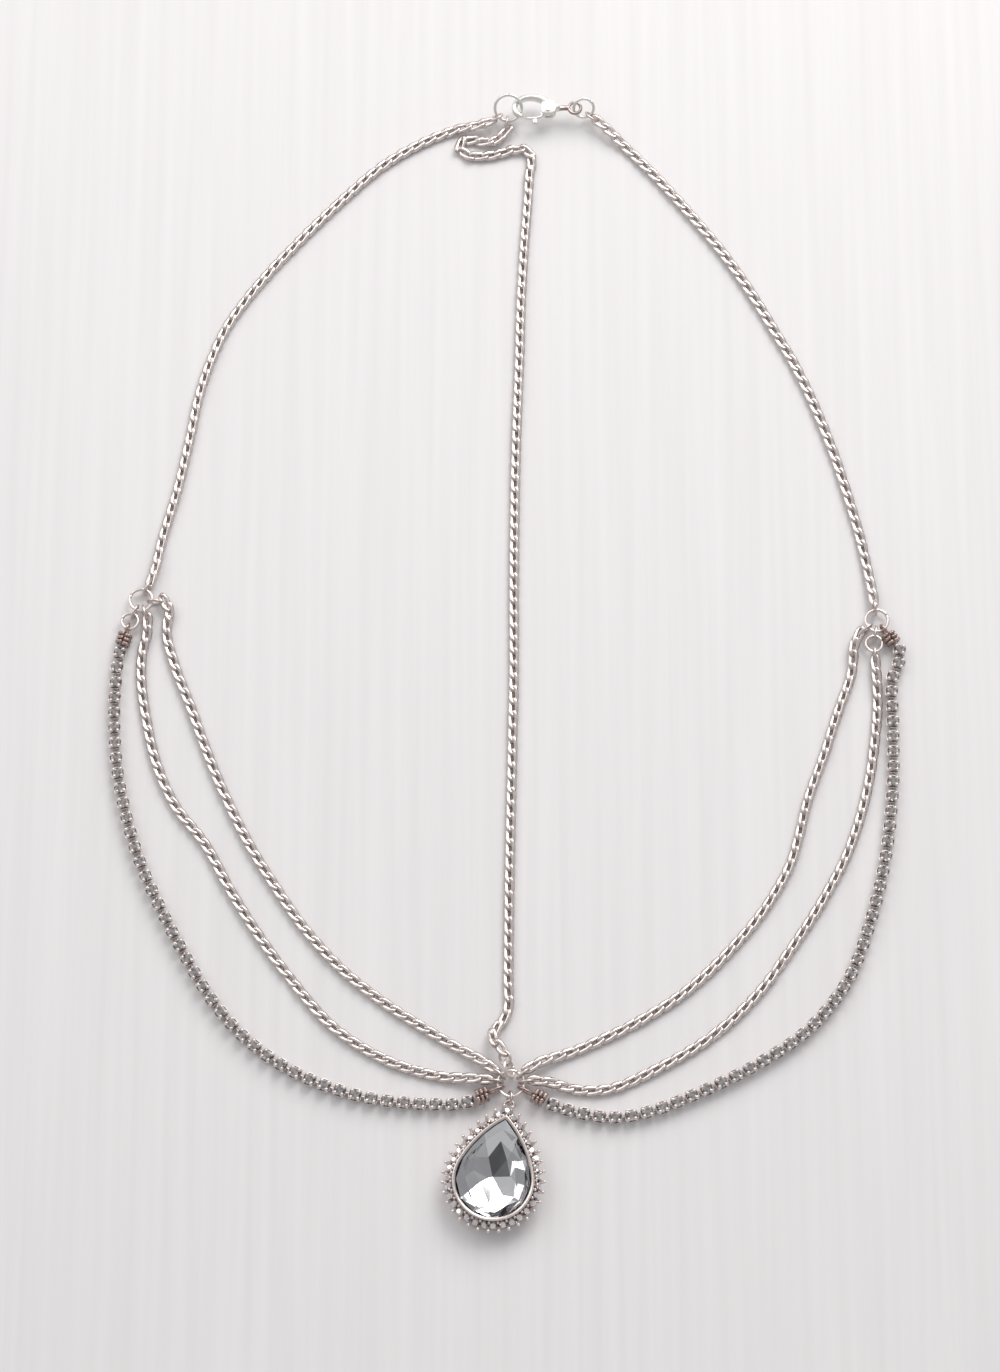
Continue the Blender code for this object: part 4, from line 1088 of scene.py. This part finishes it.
lever = {
    "arc": (253.0, 318.0), "steps": 16, "hubReach": 0.82, "shares": (0.0, 0.1, 0.6, 1.0),
    "wires": (0.26, 0.36, 0.40, 0.40), "sides": 12,
    # radius and height round the section of the washer on the pin
    "washer": ((0.65, -0.4), (0.94, -0.4), (1.0, -0.34), (1.0, 0.34), (0.94, 0.4), (0.65, 0.4)),
    "washerSteps": 28, "washerMark": 0.2,
    # the thumb tab: its place on the arc, and its distance outward and wire
    "thumb": 280.0, "tab": ((0.0, 0.56), (0.4, 0.62), (0.9, 0.62), (1.25, 0.55), (1.46, 0.3)),
    "tabFlat": 0.52,
}
claspMiddle = np.array(clasp["centre"]) * mm


def clawPath(degrees):
    # the claw's oval: length/2 cos t - shift, width/2 sin t
    t = np.radians(degrees)
    x, y = clasp["length"] / 2.0 * np.cos(t) - clasp["shift"], clasp["width"] / 2.0 * np.sin(t)
    return np.stack([x, y, np.zeros_like(t)], axis=1)


def cheek(sign):
    # a domed plate whose outline is a superellipse, |x|^n + |y|^n = 1
    steps = clasp["cheekSteps"]
    cosines, sines = np.cos(fullTurn(steps)), np.sin(fullTurn(steps))
    power = 2.0 / clasp["squareness"]
    halfX, halfY = clasp["cheekHalf"]
    x = halfX * np.sign(cosines) * np.abs(cosines) ** power
    y = halfY * np.sign(sines) * np.abs(sines) ** power
    levels = [np.stack([s * x, s * y, np.full(steps, sign * z)], axis=1) for s, z in clasp["cheekLevels"]]
    verts = (np.vstack(levels) + (*clasp["cheekMiddle"], 0.0)) * mm + claspMiddle
    faces = cappedFaces(len(levels), steps)
    return verts, faces if sign > 0 else [f[::-1] for f in faces]


def claspBody():
    # the claw, two cheeks on a pin, and a neck with an eye, both with painted shade
    heap = Heap()
    sides = clasp["sides"]
    hook = clawPath(np.linspace(*clasp["hook"], clasp["hookSteps"]))
    lead, _ = smoothPath([*clasp["lead"], tuple(hook[0])], clasp["leadSteps"])
    path = np.vstack([lead[:-1], hook])
    wires = np.interp(np.linspace(0.0, 1.0, len(path)), clasp["hookShares"], clasp["hookWires"])
    heap.add(*tube(path * mm + claspMiddle, wires * mm, sides))
    for sign in (-1.0, 1.0):
        heap.add(*cheek(sign))
    heights, wires = np.array(clasp["pin"]).T
    pin = np.array([(*clasp["pivot"], z) for z in heights])
    heap.add(*tube(pin * mm + claspMiddle, wires * mm, sides, normal=(0.0, 1.0, 0.0)))
    # painted shade on the neck and the eye
    places, wires, marks = np.array(clasp["neck"]).T
    neck = np.array([(x, 0.0, 0.0) for x in places])
    verts, faces = tube(neck * mm, wires * mm, sides)
    heap.add(verts * (1.0, 1.0, clasp["neckFlat"]) + claspMiddle, faces, marks=np.repeat(marks, sides))
    eye = polar(clasp["eyeRadius"], fullTurn(clasp["eyeSteps"])) + (clasp["eyeAt"], 0.0, 0.0)
    wire = tube(eye * mm + claspMiddle, clasp["eyeWire"] * mm, clasp["eyeSides"], closed=True)
    heap.add(*wire, marks=clasp["eyeMark"])
    dress(heap, "clasp_body_smooth", [metals["paleSilver"]], "clasp_body")


def claspLever():
    # the arm that shuts the claw, the washer that turns on the pin, and the thumb tab
    heap = Heap()
    hub = np.array((*clasp["pivot"], 0.0))
    arm = clawPath(np.linspace(*lever["arc"], lever["steps"]))
    arm = np.vstack([arm, hub + unit(arm[-1] - hub) * lever["hubReach"]])
    wires = np.interp(np.linspace(0.0, 1.0, len(arm)), lever["shares"], lever["wires"])
    heap.add(*tube(arm * mm + claspMiddle, wires * mm, lever["sides"]))
    turn = fullTurn(lever["washerSteps"])
    rings = [hub + polar(radius, turn, height) for radius, height in lever["washer"]]
    faces = gridFaces(len(rings), len(turn), closedRows=True)
    # a little painted shade over the washer between the cheeks
    heap.add(np.vstack(rings) * mm + claspMiddle, faces, marks=lever["washerMark"])
    root = clawPath(np.array([lever["thumb"]]))[0]
    reaches, wires = np.array(lever["tab"]).T
    tab = root + reaches[:, None] * planFrame(lever["thumb"])
    verts, faces = tube(tab * mm, wires * mm, clasp["sides"])
    heap.add(verts * (1.0, 1.0, lever["tabFlat"]) + claspMiddle, faces)
    dress(heap, "clasp_lever_smooth", [metals["paleSilver"]], "clasp_lever", body="lever")


claspBody()
claspLever()
print("clasp made")
